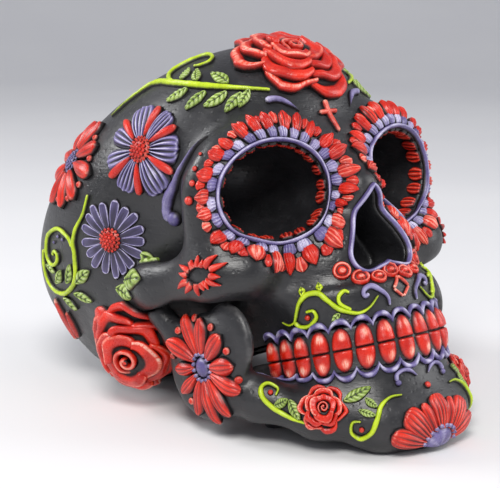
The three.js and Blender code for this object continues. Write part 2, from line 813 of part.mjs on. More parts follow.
function flowerCentre(chart, radius) {
  const base = seatLift + hubRelief + seatGap + domeClearance;
  const point = (column, row, top) => {
    const angle = (column / domeSides) * fullTurn;
    const reach = domeShares[row] * radius * flowerShares.hub * domeFitShare;
    return polar(chart, angle, reach, base + (top ? domeRelief * domeHeightShares[row] : 0));
  };
  return sheetSolid({ columns: domeSides, ring: true, topRows: [0, 1, 2], bottomRows: [0, 2], point });
}

// A half dome at the foot of a fan, seated on the bone inside the fan's open hub
function fanCentre(chart, radius, { from, to }) {
  const fit = radius * flowerShares.hub - seatGap;
  const point = (column, row, top) => {
    const angle = from + (column / fanSides) * (to - from);
    const height = seatLift + (top ? domeRelief * domeHeightShares[row] : 0);
    return polar(chart, angle, domeShares[row] * fit, height);
  };
  return sheetSolid({ columns: fanSides, ring: false, topRows: [0, 1, 2], bottomRows: [0, 2], point });
}

// A rose: whorls of lipped petals that climb to a bud. The petals of each whorl stand over the
// gaps of the next one, and every petal has two flanks, a middle and a gap.
const budShares = { reach: 0.16, height: 1 };
const whorlShares = [
  { foot: 0.22, footHeight: 0.76, lip: 0.36, lipHeight: 0.98 },
  { foot: 0.42, footHeight: 0.6, lip: 0.64, lipHeight: 0.86 },
  { foot: 0.7, footHeight: 0.34, lip: 0.93, lipHeight: 0.6 },
];
const roseEdgeShares = { reach: 1, height: 0.2 };
const petalGapShares = { reach: 0.86, height: 0.6 };
const columnsPerPetal = 4;

function roseRows() {
  const rows = [
    { reach: 0, height: budShares.height, whorl: -1 },
    { reach: budShares.reach, height: budShares.height, whorl: -1 },
  ];
  whorlShares.forEach(({ foot, footHeight, lip, lipHeight }, whorl) => {
    rows.push({ reach: foot, height: footHeight, whorl: -1 });
    rows.push({ reach: lip, height: lipHeight, whorl });
  });
  rows.push({ ...roseEdgeShares, whorl: whorlShares.length - 1 });
  return rows;
}

function rose(chart, petals, radius, height) {
  const columns = petals * columnsPerPetal;
  const rows = roseRows();
  const topRows = rows.map((entry, row) => row);
  const point = (column, row, top) => {
    const angle = (column / columns) * fullTurn;
    const { reach, height: rowHeight, whorl } = rows[row];
    const shift = (whorl * columnsPerPetal) / 2;
    const gap = whorl >= 0 && (column + shift) % columnsPerPetal === 0;
    const radiusShare = reach * (gap ? petalGapShares.reach : 1);
    const heightShare = rowHeight * (gap ? petalGapShares.height : 1);
    return polar(chart, angle, radiusShare * radius, seatLift + (top ? heightShare * height : 0));
  };
  return sheetSolid({ columns, ring: true, topRows, bottomRows: [0, rows.length - 1], point });
}

// A raised stroke along spots on the bone: a bead whose width tapers to its ends
const strokeSideShares = [-1, 0, 1];
const strokeTaperShare = 0.3;

function stroke(bone, spots, { width, relief, steps, closed = false, taper = strokeTaperShare }) {
  const route = new THREE.CatmullRomCurve3(spots, closed);
  const point = (column, row, top) => {
    const along = column / steps;
    const centre = settle(bone, route.getPointAt(along), quickTurns);
    const side = route.getTangentAt(along).cross(centre.normal).normalize();
    const swell = closed ? 1 : taper + (1 - taper) * Math.sqrt(Math.sin(Math.PI * along));
    const reach = strokeSideShares[row] * (width / 2) * swell;
    const spot = settle(bone, centre.point.clone().addScaledVector(side, reach), quickTurns);
    const raised = top && Math.abs(strokeSideShares[row]) < 1;
    return spot.point.addScaledVector(spot.normal, seatLift + (raised ? relief * swell : 0));
  };
  return sheetSolid({ columns: steps, ring: closed, topRows: [0, 1, 2], bottomRows: [0, 2], point });
}

// A leaf with a raised middle rib, from its foot to its tip
const leafSideShares = [-1, 0, 1];
const leafSpreadShares = [0.25, 1, 0.75, 0];
const leafStationShares = [0, 0.35, 0.65, 1];
const leafSlenderShare = 0.24;

function leaf(chart, length, turn) {
  const direction = new THREE.Vector2(Math.cos(turn), Math.sin(turn));
  const side = new THREE.Vector2(-direction.y, direction.x);
  const point = (column, row, top) => {
    const spread = leafSideShares[row] * leafSpreadShares[column] * leafSlenderShare;
    const spot = direction.clone().multiplyScalar(leafStationShares[column] * length);
    spot.addScaledVector(side, spread * length);
    const rise = row === 1 ? valleyRelief + edgeRelief : valleyRelief;
    return chart(spot.x, spot.y, seatLift + (top ? rise : 0));
  };
  const columns = leafStationShares.length - 1;
  return sheetSolid({ columns, ring: false, topRows: [0, 1, 2], bottomRows: [0, 2], point });
}

// A round bead
function bead(chart, radius) {
  const point = (column, row, top) => {
    const angle = (column / domeSides) * fullTurn;
    const height = seatLift + (top ? domeRelief * domeHeightShares[row] : 0);
    return polar(chart, angle, domeShares[row] * radius, height);
  };
  return sheetSolid({ columns: domeSides, ring: true, topRows: [0, 1, 2], bottomRows: [0, 2], point });
}

// Placing: most ornament is aimed from the middle of the head, the face or the jaw
const headMiddleShares = [0, 0, 0];
const faceMiddleShares = [0, 0.4, -0.4];
const jawMiddleShares = [0, 0.45, -0.85];
const branchMiddleShares = [-0.3, 0.31, -0.64];

function chartTowards(bone, middleShares, placeShares) {
  return chartAt(bone, towards(bone, middleShares, placeShares), upAxis);
}

// Colours of the paint
const black = { color: 0x26262a, roughness: 0.55, metalness: 0 };
const red = { color: 0xc9301f, roughness: 0.45, metalness: 0 };
const lavender = { color: 0x776ab0, roughness: 0.45, metalness: 0 };
const lime = { color: 0xbfd60a, roughness: 0.45, metalness: 0 };

const skull = new THREE.Group();
const standing = new THREE.Group();
skull.add(standing);

function addPiece(name, geometry, paint) {
  const mesh = new THREE.Mesh(geometry, new THREE.MeshStandardMaterial(paint));
  mesh.name = name;
  standing.add(mesh);
}

// The same piece on the skull's right and, mirrored, on its left
function addPair(name, geometry, paint) {
  addPiece(`right_${name}`, geometry, paint);
  addPiece(`left_${name}`, mirroredGeometry(geometry), paint);
}

// Bone
addPiece("cranium", craniumBody(), black);
addPiece("mandible", carved(jawSkin, [floorCutter()]), black);

// Teeth: the dental arch as a path in plan, walked by arc length from the right to the left
function archPath() {
  const halfWidth = archShares.halfWidth * widthUnit;
  const bend = archShares.bend * lengthUnit;
  const depth = (archShares.front - archShares.bend) * lengthUnit;
  const last = archShares.lastTooth * lengthUnit;
  const path = new THREE.Path();
  path.moveTo(-halfWidth, last);
  path.lineTo(-halfWidth, bend);
  path.absellipse(0, bend, halfWidth, depth, Math.PI, 0, true);
  path.lineTo(halfWidth, last);
  return path;
}

// The bone beside the dental arch at a share of the way round it and a level above the bite.
// Near the bite the bone's edge is rounded, so the seat there is carried on from the upright wall.
function archSeat(bone, path, share, level) {
  const here = path.getPoint(share);
  const nudge = 0.002;
  const ahead = path.getPoint(Math.min(share + nudge, 1));
  const behind = path.getPoint(Math.max(share - nudge, 0));
  const out = new THREE.Vector2(behind.y - ahead.y, ahead.x - behind.x).normalize();
  const wallLevel = Math.sign(level) * Math.max(Math.abs(level), toothHeight * uprightShare);
  const drop = (biteShares.front * lengthUnit - here.y) * biteShares.slope;
  const outward = new THREE.Vector3().addScaledVector(acrossAxis, out.x).addScaledVector(forwardAxis, out.y);
  const start = headCentre
    .clone()
    .addScaledVector(acrossAxis, here.x)
    .addScaledVector(forwardAxis, here.y)
    .addScaledVector(upAxis, biteShares.up * heightUnit + drop + wallLevel)
    .addScaledVector(outward, cheekRoom);
  const swallowed = bone(start) < 0;
  const point = swallowed
    ? start.addScaledVector(outward, -cheekRoom)
    : marchTo(bone, start, outward.clone().negate());
  return { point: point.addScaledVector(upAxis, level - wallLevel), outward };
}

// March without settling, so that the point stays on its own level
function marchTo(bone, start, direction) {
  const point = start.clone();
  const cautionShare = 0.7;
  const marchLimit = 120;
  for (let step = 0; step < marchLimit && bone(point) > probe; step += 1) {
    point.addScaledVector(direction, bone(point) * cautionShare);
  }
  return point;
}

const uprightShare = 0.35;
const cheekRoom = 8;
const teethPath = archPath();
const toothCount = teethPerSide * 2;
const toothSteps = 3;

function toothRow(seat, side) {
  const columns = toothCount * toothSteps;
  const rowLevelShares = [0, 0.6, 1];
  const rowDepthShares = [0.9, 1, 0.55];
  const valleyDepthShare = 0.45;
  const point = (column, row, top) => {
    const valley = column % toothSteps === 0;
    const height = toothHeight - (valley ? toothArchHeight : 0);
    const level = side * (biteGap / 2 + rowLevelShares[row] * height);
    const place = archSeat(seat.bone, teethPath, column / columns, level);
    const depth = toothDepth * rowDepthShares[row] * (valley ? valleyDepthShare : 1);
    return place.point.addScaledVector(place.outward, seatLift + (top ? depth : 0));
  };
  return seated(sheetSolid({ columns, ring: false, topRows: [0, 1, 2], bottomRows: [0, 2], point }), seat);
}

addPiece("upper_teeth", toothRow(craniumSeat, 1), red);
addPiece("lower_teeth", toothRow(jawSeat, -1), red);

// The scalloped gum line just past the ends of the teeth
function gumPiping(seat, side) {
  const columns = toothCount * toothSteps;
  const clear = toothHeight + biteGap / 2 + seatGap + pipingWidth / 2;
  const point = (column, row, top) => {
    const valley = column % toothSteps === 0;
    const middle = clear - (valley ? toothArchHeight : 0);
    const level = side * (middle + strokeSideShares[row] * (pipingWidth / 2));
    const place = archSeat(seat.bone, teethPath, column / columns, level);
    const raised = top && Math.abs(strokeSideShares[row]) < 1;
    return place.point.addScaledVector(place.outward, seatLift + (raised ? pipingRelief : 0));
  };
  return seated(sheetSolid({ columns, ring: false, topRows: [0, 1, 2], bottomRows: [0, 2], point }), seat);
}

addPiece("upper_gum_piping", gumPiping(craniumSeat, 1), lavender);
addPiece("lower_gum_piping", gumPiping(jawSeat, -1), lavender);

// Bands round the eye socket, each at its own distance from the cut edge
const socketForm = ellipsoid(socketShares);
const socketSeat = faceSeatOfSocket();
const socketChart = chartAt(craniumBone, socketSeat, upAxis);
const midGap = 0.8;
const bandGap = 0.65;
const bandCount = 3;
const leastRoomShare = 0.1;
const roomTrials = 14;
const ringValleyShare = 0.55;
const scallopNotchShare = 0.7;
const petalNotchShare = 0.66;

function faceSeatOfSocket() {
  const centre = place(-socketShares.at[0], socketShares.at[1], socketShares.at[2]);
  const ahead = new THREE.Vector3(0, -1, 0);
  return strike(craniumBone, centre.clone().addScaledVector(ahead, lengthUnit), ahead.negate());
}

// The distance from the middle of the socket to its cut edge, in a direction
function socketEdge(angle) {
  let inside = (socketShares.radii[2] * heightUnit) / 2;
  let outside = socketShares.radii[0] * widthUnit * 2;
  const halvings = 14;
  for (let turn = 0; turn < halvings; turn += 1) {
    const middle = (inside + outside) / 2;
    const spot = polar(socketChart, angle, middle, 0);
    if (socketForm.measure(...boneCoordinates(spot)) < 0) {
      inside = middle;
    } else {
      outside = middle;
    }
  }
  return outside;
}

// The furthest that a band may reach before it meets the middle of the face or the nose rim
function socketRoom(angle, edge, wanted) {
  const noseBand = noseRimWidth + seatGap * bandCount;
  let reach = wanted;
  const trial = wanted / roomTrials;
  while (reach > trial) {
    const spot = polar(socketChart, angle, edge + reach, 0);
    if (spot.x < -midGap && noseDistance(spot) > noseBand) {
      break;
    }
    reach -= trial;
  }
  return reach;
}

function socketBand({ petals, steps, gaps, start, width, heights, notch }) {
  const columns = petals * steps;
  const last = heights.length - 1;
  const outerLimit = rimWidth + scallopWidth + petalWidth;
  const point = (column, row, top) => {
    const angle = (column / columns) * Math.PI * 2;
    const edge = socketEdge(angle);
    const gapsWide = bandGap * bandCount;
    const reach = socketRoom(angle, edge, outerLimit + gapsWide) - gapsWide;
    const room = Math.max(reach / outerLimit, leastRoomShare);
    const valley = steps > 1 && column % steps === 0;
    const outer = valley ? notch : 1;
    const spread = (row / last) * (row === last ? outer : 1) * width;
    const rise = (valley ? ringValleyShare : 1) * heights[row];
    const radius = edge + gaps * bandGap + (start + spread) * room;
    return polar(socketChart, angle, radius, seatLift + (top ? rise : 0));
  };
  const topRows = heights.map((height, row) => row);
  return seated(sheetSolid({ columns, ring: true, topRows, bottomRows: [0, last], point }), craniumSeat);
}

addPair(
  "socket_rim",
  socketBand({
    petals: rimSteps,
    steps: 1,
    gaps: 1,
    start: 0,
    width: rimWidth,
    heights: [edgeRelief, petalRelief, edgeRelief],
    notch: 1,
  }),
  lavender,
);
addPair(
  "socket_scallops",
  socketBand({
    petals: scallopCount,
    steps: 2,
    gaps: 2,
    start: rimWidth,
    width: scallopWidth,
    heights: [petalRelief, valleyRelief],
    notch: scallopNotchShare,
  }),
  lavender,
);
addPair(
  "socket_petals",
  socketBand({
    petals: ringPetalCount,
    steps: 2,
    gaps: 3,
    start: rimWidth + scallopWidth,
    width: petalWidth,
    heights: [hubRelief, petalRelief, valleyRelief],
    notch: petalNotchShare,
  }),
  red,
);

// Flowers on the sides of the head
function addFlower(name, seat, chart, petals, radius, paints) {
  addPair(name, seated(flower(chart, petals, radius), seat), paints[0]);
  addPair(`${name}_centre`, flowerCentre(chart, radius), paints[1]);
}

const stripedChart = chartTowards(craniumBone, headMiddleShares, [-0.519, 0.295, 0.166]);
const lavenderChart = chartTowards(craniumBone, headMiddleShares, [-0.58, 0.065, -0.102]);
const sideChart = chartTowards(craniumBone, headMiddleShares, [-0.53, -0.13, 0.24]);
const ramusChart = chartTowards(jawBone, branchMiddleShares, [-0.6, 0.355, -0.64]);
addFlower("striped_daisy", craniumSeat, stripedChart, stripedPetals, stripedDaisyRadius, [lavender, red]);
addFlower("lavender_daisy", craniumSeat, lavenderChart, lavenderPetals, lavenderDaisyRadius, [lavender, red]);
addFlower("side_flower", craniumSeat, sideChart, sidePetals, sideFlowerRadius, [red, lavender]);
addFlower("ramus_flower", jawSeat, ramusChart, ramusPetals, ramusFlowerRadius, [red, lavender]);

// Roses
const crownChart = chartTowards(craniumBone, headMiddleShares, [0.005, 0.585, 0.375]);
const rearChart = chartTowards(craniumBone, headMiddleShares, [-0.545, -0.03, -0.52]);
addPiece("crown_rose", seated(rose(crownChart, crownPetals, crownRoseRadius, roseRelief), craniumSeat), red);
addPair("rear_rose", seated(rose(rearChart, rearPetals, rearRoseRadius, roseRelief), craniumSeat), red);

// Vines and painted strokes: lists of places in shares, each met by the bone
const crownStemShares = [
  [-0.25, 0.62, 0.27],
  [-0.31, 0.55, 0.31],
  [-0.35, 0.46, 0.345],
  [-0.36, 0.31, 0.395],
  [-0.395, 0.19, 0.39],
  [-0.45, 0.06, 0.35],
];
const crownCurlShares = [
  [-0.36, 0.31, 0.395],
  [-0.31, 0.32, 0.425],
  [-0.26, 0.35, 0.447],
];
const crownLeafShares = [
  { at: [-0.31, 0.55, 0.31], turn: -70 },
  { at: [-0.345, 0.48, 0.335], turn: -75 },
  { at: [-0.355, 0.4, 0.37], turn: -80 },
  { at: [-0.35, 0.46, 0.345], turn: 80 },
];
const sideStemShares = [
  [-0.61, -0.03, 0.03],
  [-0.614, -0.12, -0.05],
  [-0.605, -0.17, -0.16],
  [-0.577, -0.31, -0.226],
  [-0.568, -0.41, -0.17],
  [-0.575, -0.41, -0.06],
  [-0.6, -0.3, 0],
  [-0.605, -0.22, -0.05],
];
const sideLeafShares = [
  { at: [-0.605, -0.17, -0.16], turn: -30 },
  { at: [-0.577, -0.31, -0.226], turn: -90 },
  { at: [-0.59, -0.24, -0.2], turn: -60 },
];
const templeShares = [
  [-0.435, 0.574, 0.128],
  [-0.45, 0.526, 0.113],
  [-0.48, 0.467, 0.06],
  [-0.489, 0.409, 0.01],
  [-0.484, 0.345, -0.045],
  [-0.473, 0.35, -0.1],
];
const foreheadShares = [
  [-0.231, 0.665, 0.207],
  [-0.16, 0.696, 0.19],
  [-0.11, 0.72, 0.14],
];
const lipScrollShares = [
  [-0.304, 0.572, -0.54],
  [-0.296, 0.635, -0.56],
  [-0.296, 0.656, -0.531],
  [-0.288, 0.682, -0.498],
  [-0.261, 0.721, -0.496],
  [-0.243, 0.752, -0.533],
  [-0.22, 0.775, -0.565],
  [-0.185, 0.802, -0.575],
];
const lipCurlShares = [
  [-0.148, 0.825, -0.549],
  [-0.129, 0.831, -0.534],
  [-0.098, 0.843, -0.538],
  [-0.075, 0.85, -0.558],
  [-0.068, 0.851, -0.585],
];
// The ornaments on the jaw hang from the lower gum line: across, forward, and down from that line
const gumLineDrop = toothHeight + biteGap / 2 + seatGap + pipingWidth;
const gumLineShare = biteShares.up - gumLineDrop / heightUnit;
const belowGum = ([across, forward, down]) => [across, forward, gumLineShare - down];
const jawVineShares = [
  [-0.4, 0.6, 0.0625],
  [-0.427, 0.561, 0.0195],
  [-0.453, 0.538, -0.0245],
  [-0.444, 0.534, -0.0585],
  [-0.416, 0.542, -0.0665],
  [-0.401, 0.561, -0.0465],
];
const chinVineShares = [
  [-0.16, 0.845, 0.0675],
  [-0.2, 0.834, 0.0975],
  [-0.225, 0.826, 0.1375],
  [-0.235, 0.794, 0.1725],
  [-0.25, 0.753, 0.1775],
  [-0.275, 0.741, 0.1555],
  [-0.276, 0.758, 0.1265],
];
const chinCurlShares = [
  [-0.106, 0.843, 0.0325],
  [-0.085, 0.845, 0.0145],
  [-0.052, 0.851, 0.0145],
  [-0.025, 0.857, 0.0335],
];
const jawRoseShares = [-0.335, 0.7, 0.0645];

function spotsOn(bone, middleShares, list) {
  return list.map((shares) => towards(bone, middleShares, shares).point);
}

function strand(seat, middleShares, shares, width) {
  const spots = spotsOn(seat.bone, middleShares, shares);
  const steps = Math.ceil((spots.length - 1) * stepsPerSpan);
  return stroke(seat.bone, spots, { width, relief: vineRelief, steps });
}

function leavesOn(seat, middleShares, list) {
  return list.map(({ at, turn }) => {
    const chart = chartTowards(seat.bone, middleShares, at);
    return leaf(chart, leafLength, THREE.MathUtils.degToRad(turn));
  });
}

const crownVine = [
  strand(craniumSeat, headMiddleShares, crownStemShares, vineWidth),
  strand(craniumSeat, headMiddleShares, crownCurlShares, vineWidth),
  ...leavesOn(craniumSeat, headMiddleShares, crownLeafShares),
];
const sideVine = [
  strand(craniumSeat, headMiddleShares, sideStemShares, vineWidth),
  ...leavesOn(craniumSeat, headMiddleShares, sideLeafShares),
];
const templeStroke = [
  strand(craniumSeat, headMiddleShares, templeShares, strokeWidth),
  bead(chartTowards(craniumBone, headMiddleShares, templeShares.at(-1)), beadRadius),
];
addPair("crown_vine", seated(joined(crownVine), craniumSeat), lime);
addPair("side_vine", seated(joined(sideVine), craniumSeat), lime);
addPair("temple_stroke", seated(joined(templeStroke), craniumSeat), lavender);

function addStrand(name, { seat, middleShares }, shares, width, paint) {
  addPair(name, seated(strand(seat, middleShares, shares, width), seat), paint);
}

const onHead = { seat: craniumSeat, middleShares: headMiddleShares };
const onFace = { seat: craniumSeat, middleShares: faceMiddleShares };
const onJaw = { seat: jawSeat, middleShares: jawMiddleShares };
addStrand("forehead_stroke", onHead, foreheadShares, strokeWidth, lavender);
addStrand("lip_scroll", onFace, lipScrollShares, vineWidth, lime);
addStrand("lip_curl", onFace, lipCurlShares, vineWidth, lavender);
addStrand("jaw_vine", onJaw, jawVineShares.map(belowGum), vineWidth, lime);
addStrand("chin_vine", onJaw, chinVineShares.map(belowGum), vineWidth, lime);
addStrand("chin_curl", onJaw, chinCurlShares.map(belowGum), vineWidth, lavender);

const jawRoseChart = chartTowards(jawBone, jawMiddleShares, belowGum(jawRoseShares));
const jawRose = rose(jawRoseChart, jawRosePetals, jawRoseRadius, roseRelief / 2);
addPair("jaw_rose", seated(jawRose, jawSeat), red);

// A burst of pointed rays round an open middle
const sunburstShares = { flatness: 0.8, inner: 0.42 };
const diamondShares = { flatness: 1.1, inner: 0.45 };
const rayNotchShare = 0.68;

function starRing(chart, points, radius, { flatness, inner }) {
  const columns = points * 2;
  const point = (column, row, top) => {
    const angle = (column / columns) * fullTurn;
    const outer = column % 2 === 0 ? 1 : rayNotchShare;
    const reach = radius * (row === 0 ? inner : outer);
    const height = seatLift + (top ? [petalRelief, valleyRelief][row] : 0);
    return chart(reach * Math.cos(angle), reach * flatness * Math.sin(angle), height);
  };
  return sheetSolid({ columns, ring: true, topRows: [0, 1], bottomRows: [0, 1], point });
}

const sunburstChart = chartTowards(craniumBone, headMiddleShares, [-0.57, 0.51, -0.33]);
const sunburst = starRing(sunburstChart, sunburstRays, sunburstRadius, sunburstShares);
addPair("cheek_sunburst", seated(sunburst, craniumSeat), red);

// The middle of the face: cross, nose rim, lace and diamond
function frontSpot(across, up) {
  const start = headCentre.clone().addScaledVector(acrossAxis, across).addScaledVector(upAxis, up);
  start.addScaledVector(forwardAxis, lengthUnit + overrun);
  return strike(craniumBone, start, forwardAxis.clone().negate());
}

const crossShares = { upright: [0.715, 0.17], foot: [0.745, 0.06], arms: [0.72, 0.135], reach: 0.038 };
const crossTaperShare = 0.8;
const crossSteps = 3;

function foreheadCross() {
  const upright = [
    [0, ...crossShares.upright],
    [0, ...crossShares.foot],
  ];
  const arms = [
    [-crossShares.reach, ...crossShares.arms],
    [crossShares.reach, ...crossShares.arms],
  ];
  const bars = [upright, arms].map((list) => {
    const spots = spotsOn(craniumBone, headMiddleShares, list);
    const options = { width: crossBar, relief: vineRelief, steps: crossSteps, taper: crossTaperShare };
    return stroke(craniumBone, spots, options);
  });
  return seated(joined(bars), craniumSeat);
}

// The nose outline moved outward in the front view
function noseOffset(distance) {
  return nosePoints.map((point, index) => {
    const before = nosePoints.at(index - 1);
    const after = nosePoints[(index + 1) % nosePoints.length];
    const run = after.clone().sub(before).normalize();
    return new THREE.Vector2(point.x - run.y * distance, point.y + run.x * distance);
  });
}

function noseRim() {
  const spots = noseOffset(seatGap + noseRimWidth / 2).map((p) => frontSpot(p.x, p.y).point);
  const options = { width: noseRimWidth, relief: petalRelief, steps: rimSteps, closed: true };
  return seated(stroke(craniumBone, spots, options), craniumSeat);
}

// A lace of scallops under the nose, on half an ellipse in the front view
const laceShares = { halfWidth: 0.18, top: -0.438, drop: 0.046 };
const laceSpread = THREE.MathUtils.degToRad(72);
const laceRowShares = [0, 0.5, 1];
const laceNotchShare = 0.6;

function noseLace() {
  const columns = laceScallops * 2;
  const last = laceRowShares.length - 1;
  const point = (column, row, top) => {
    const angle = -laceSpread + (column / columns) * laceSpread * 2;
    const notch = row === last && column % 2 === 0 ? laceNotchShare : 1;
    const out = laceRowShares[row] * notch * laceWidth;
    const across = Math.sin(angle) * (laceShares.halfWidth * widthUnit + out);
    const hang = laceShares.drop * heightUnit * Math.sqrt(Math.cos(angle)) + out * Math.cos(angle);
    const up = laceShares.top * heightUnit - hang;
    const spot = frontSpot(across, up);
    const heights = [edgeRelief, petalRelief, valleyRelief];
    return spot.point.addScaledVector(spot.normal, seatLift + (top ? heights[row] : 0));
  };
  const lace = sheetSolid({ columns, ring: false, topRows: [0, 1, 2], bottomRows: [0, 2], point });
  return seated(lace, craniumSeat);
}

const diamondChart = chartTowards(craniumBone, faceMiddleShares, [0, 0.857, -0.552]);
const diamond = starRing(diamondChart, diamondPoints, diamondRadius, diamondShares);
addPiece("forehead_cross", foreheadCross(), red);
addPiece("nose_rim", noseRim(), lavender);
addPiece("nose_lace", noseLace(), red);
addPiece("lip_diamond", seated(diamond, craniumSeat), red);

// The fan flower on the chin
const chinFan = { from: THREE.MathUtils.degToRad(-6), to: THREE.MathUtils.degToRad(186) };
const chinChart = chartTowards(jawBone, jawMiddleShares, [0, 0.835, -1.075]);
addPiece("chin_flower", seated(flower(chinChart, chinPetals, chinFlowerRadius, chinFan), jawSeat), red);
const chinCentre = fanCentre(chinChart, chinFlowerRadius, chinFan);
addPiece("chin_flower_centre", seated(chinCentre, jawSeat), lavender);

// The origin lies on the floor under the middle of the skull
const bounds = new THREE.Box3().setFromObject(standing);
const middle = bounds.getCenter(new THREE.Vector3());
standing.position.set(-middle.x, -middle.y, -bounds.min.z);

export default skull;
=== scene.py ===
"""A hand-painted cast sugar skull: fine relief and paint over the CAD pieces.

The bone is one smoothly blended form, meshed finely. Every ornament is a sheet of relief that is
laid on that form, and its paint follows its own height: dark in the recesses with a black wash and
painted shade, pale on the crests with a painted highlight and dry-brush.
Shapes are worked out in millimetres in the bone's own upright frame (across, forward, up), and
each finished mesh is turned into the row's frame in metres.
"""

import math

import bpy
import numpy as np
from mathutils import Matrix, Vector


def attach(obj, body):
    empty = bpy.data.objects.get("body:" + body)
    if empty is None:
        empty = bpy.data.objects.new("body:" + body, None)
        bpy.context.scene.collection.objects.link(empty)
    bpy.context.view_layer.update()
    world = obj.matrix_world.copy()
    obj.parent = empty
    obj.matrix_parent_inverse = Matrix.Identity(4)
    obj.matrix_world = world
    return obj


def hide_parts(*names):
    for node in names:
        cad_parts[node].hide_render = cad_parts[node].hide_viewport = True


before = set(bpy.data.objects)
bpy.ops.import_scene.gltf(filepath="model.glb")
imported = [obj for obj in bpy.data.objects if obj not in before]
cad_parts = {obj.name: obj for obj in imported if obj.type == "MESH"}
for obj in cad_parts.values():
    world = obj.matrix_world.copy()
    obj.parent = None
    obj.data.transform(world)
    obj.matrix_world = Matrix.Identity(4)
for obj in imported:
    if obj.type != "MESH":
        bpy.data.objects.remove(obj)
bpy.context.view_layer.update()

MM = 0.001
FULL_TURN = 2 * math.pi

# The bone's frame: how it leans back, and where its middle stands over the floor, in millimetres
LEAN = math.radians(22)
MIDDLE = np.array([0.0, 30.0, 72.0])
FORWARD = np.array([0.0, -math.cos(LEAN), math.sin(LEAN)])
UPWARD = np.array([0.0, math.sin(LEAN), math.cos(LEAN)])

# How far the standing skull is then moved, to lie in the row's frame
ROW_SHIFT = np.array([0.0, -9.862, 0.0])

# Fineness of the bone's mesh, and how far below the bone the edges of the relief end
BONE_CELL = 1.15
SINK = 0.35

# Share of the distance that a step towards a form covers, and half the length that a slope is
# taken over
MARCH_SHARE = 0.7
PROBE = 0.05


# The bone as a signed distance


def unit(values):
    """Values held between 0 and 1."""
    return np.clip(values, 0, 1)


def round_shares(count):
    """Shares from -1 to 1 that lie closer together towards both ends."""
    return np.sin(np.linspace(-math.pi / 2, math.pi / 2, count))


def smooth_min(a, b, blend):
    """The union of two distances, rounded over a blend's width."""
    overlap = np.maximum(blend - np.abs(a - b), 0)
    return np.minimum(a, b) - overlap * overlap / (4 * blend)


def smooth_max(a, b, blend):
    return -smooth_min(-a, -b, blend)


def ellipsoid(p, centre, radii, tilt=0.0, yaw=0.0):
    """Distance to an ellipsoid, turned by its yaw and then its tilt in degrees."""
    x, f, u = (p[i] - centre[i] for i in range(3))
    yaw_turn, tilt_turn = math.radians(yaw), math.radians(tilt)
    x, f = (
        x * math.cos(yaw_turn) - f * math.sin(yaw_turn),
        x * math.sin(yaw_turn) + f * math.cos(yaw_turn),
    )
    f, u = (
        f * math.cos(tilt_turn) + u * math.sin(tilt_turn),
        u * math.cos(tilt_turn) - f * math.sin(tilt_turn),
    )
    a, b, c = x / radii[0], f / radii[1], u / radii[2]
    ratio = np.sqrt(a * a + b * b + c * c)
    slope = np.sqrt((a / radii[0]) ** 2 + (b / radii[1]) ** 2 + (c / radii[2]) ** 2)
    return ratio * (ratio - 1) / np.maximum(slope, 1e-6)


def limb(p, start, end, start_radius, end_radius, flatness=1.0):
    """Distance to a tapering round bar; flatness makes it thinner across."""
    x = p[0] * flatness - start[0] * flatness
    f, u = p[1] - start[1], p[2] - start[2]
    run = ((end[0] - start[0]) * flatness, end[1] - start[1], end[2] - start[2])
    along = (x * run[0] + f * run[1] + u * run[2]) / sum(r * r for r in run)
    along = unit(along)
    off = np.sqrt((x - run[0] * along) ** 2 + (f - run[1] * along) ** 2 + (u - run[2] * along) ** 2)
    return off - (start_radius + (end_radius - start_radius) * along)


def arch(x, f, half_width, front, bend):
    """Distance in plan to a dental arch: straight legs up to the bend, then half an ellipse."""
    ahead, depth = np.maximum(f - bend, 0), front - bend
    ratio = np.sqrt((x / half_width) ** 2 + (ahead / depth) ** 2)
    slope = np.sqrt((x / half_width**2) ** 2 + (ahead / depth**2) ** 2)
    return np.where(f > bend, ratio * (ratio - 1) / np.maximum(slope, 1e-6), x - half_width)


BITE_FRONT, BITE_UP, BITE_SLOPE = 87.8, -71.0, 0.07
ARCH = {"half_width": 29.6, "front": 85.8, "bend": 60.8, "last": 43.0}
SOCKET = {"centre": (28.5, 63, -9.5), "radii": (20.5, 32, 17), "tilt": -22, "yaw": 14}
CAVITY = {"centre": (0, -20, -3), "radii": (52, 50, 40), "tilt": 18}
POUR_HOLE_BACK, POUR_HOLE_RADIUS = -29.0, 12.0
NOSE_FLOOR = 62.0


def above_bite(f, u):
    """Height over the sloping plane where the teeth meet."""
    return u - BITE_UP - (BITE_FRONT - f) * BITE_SLOPE


def folded(points):
    """Coordinates with the left half laid over the right one."""
    return np.abs(points[..., 0]), points[..., 1], points[..., 2]


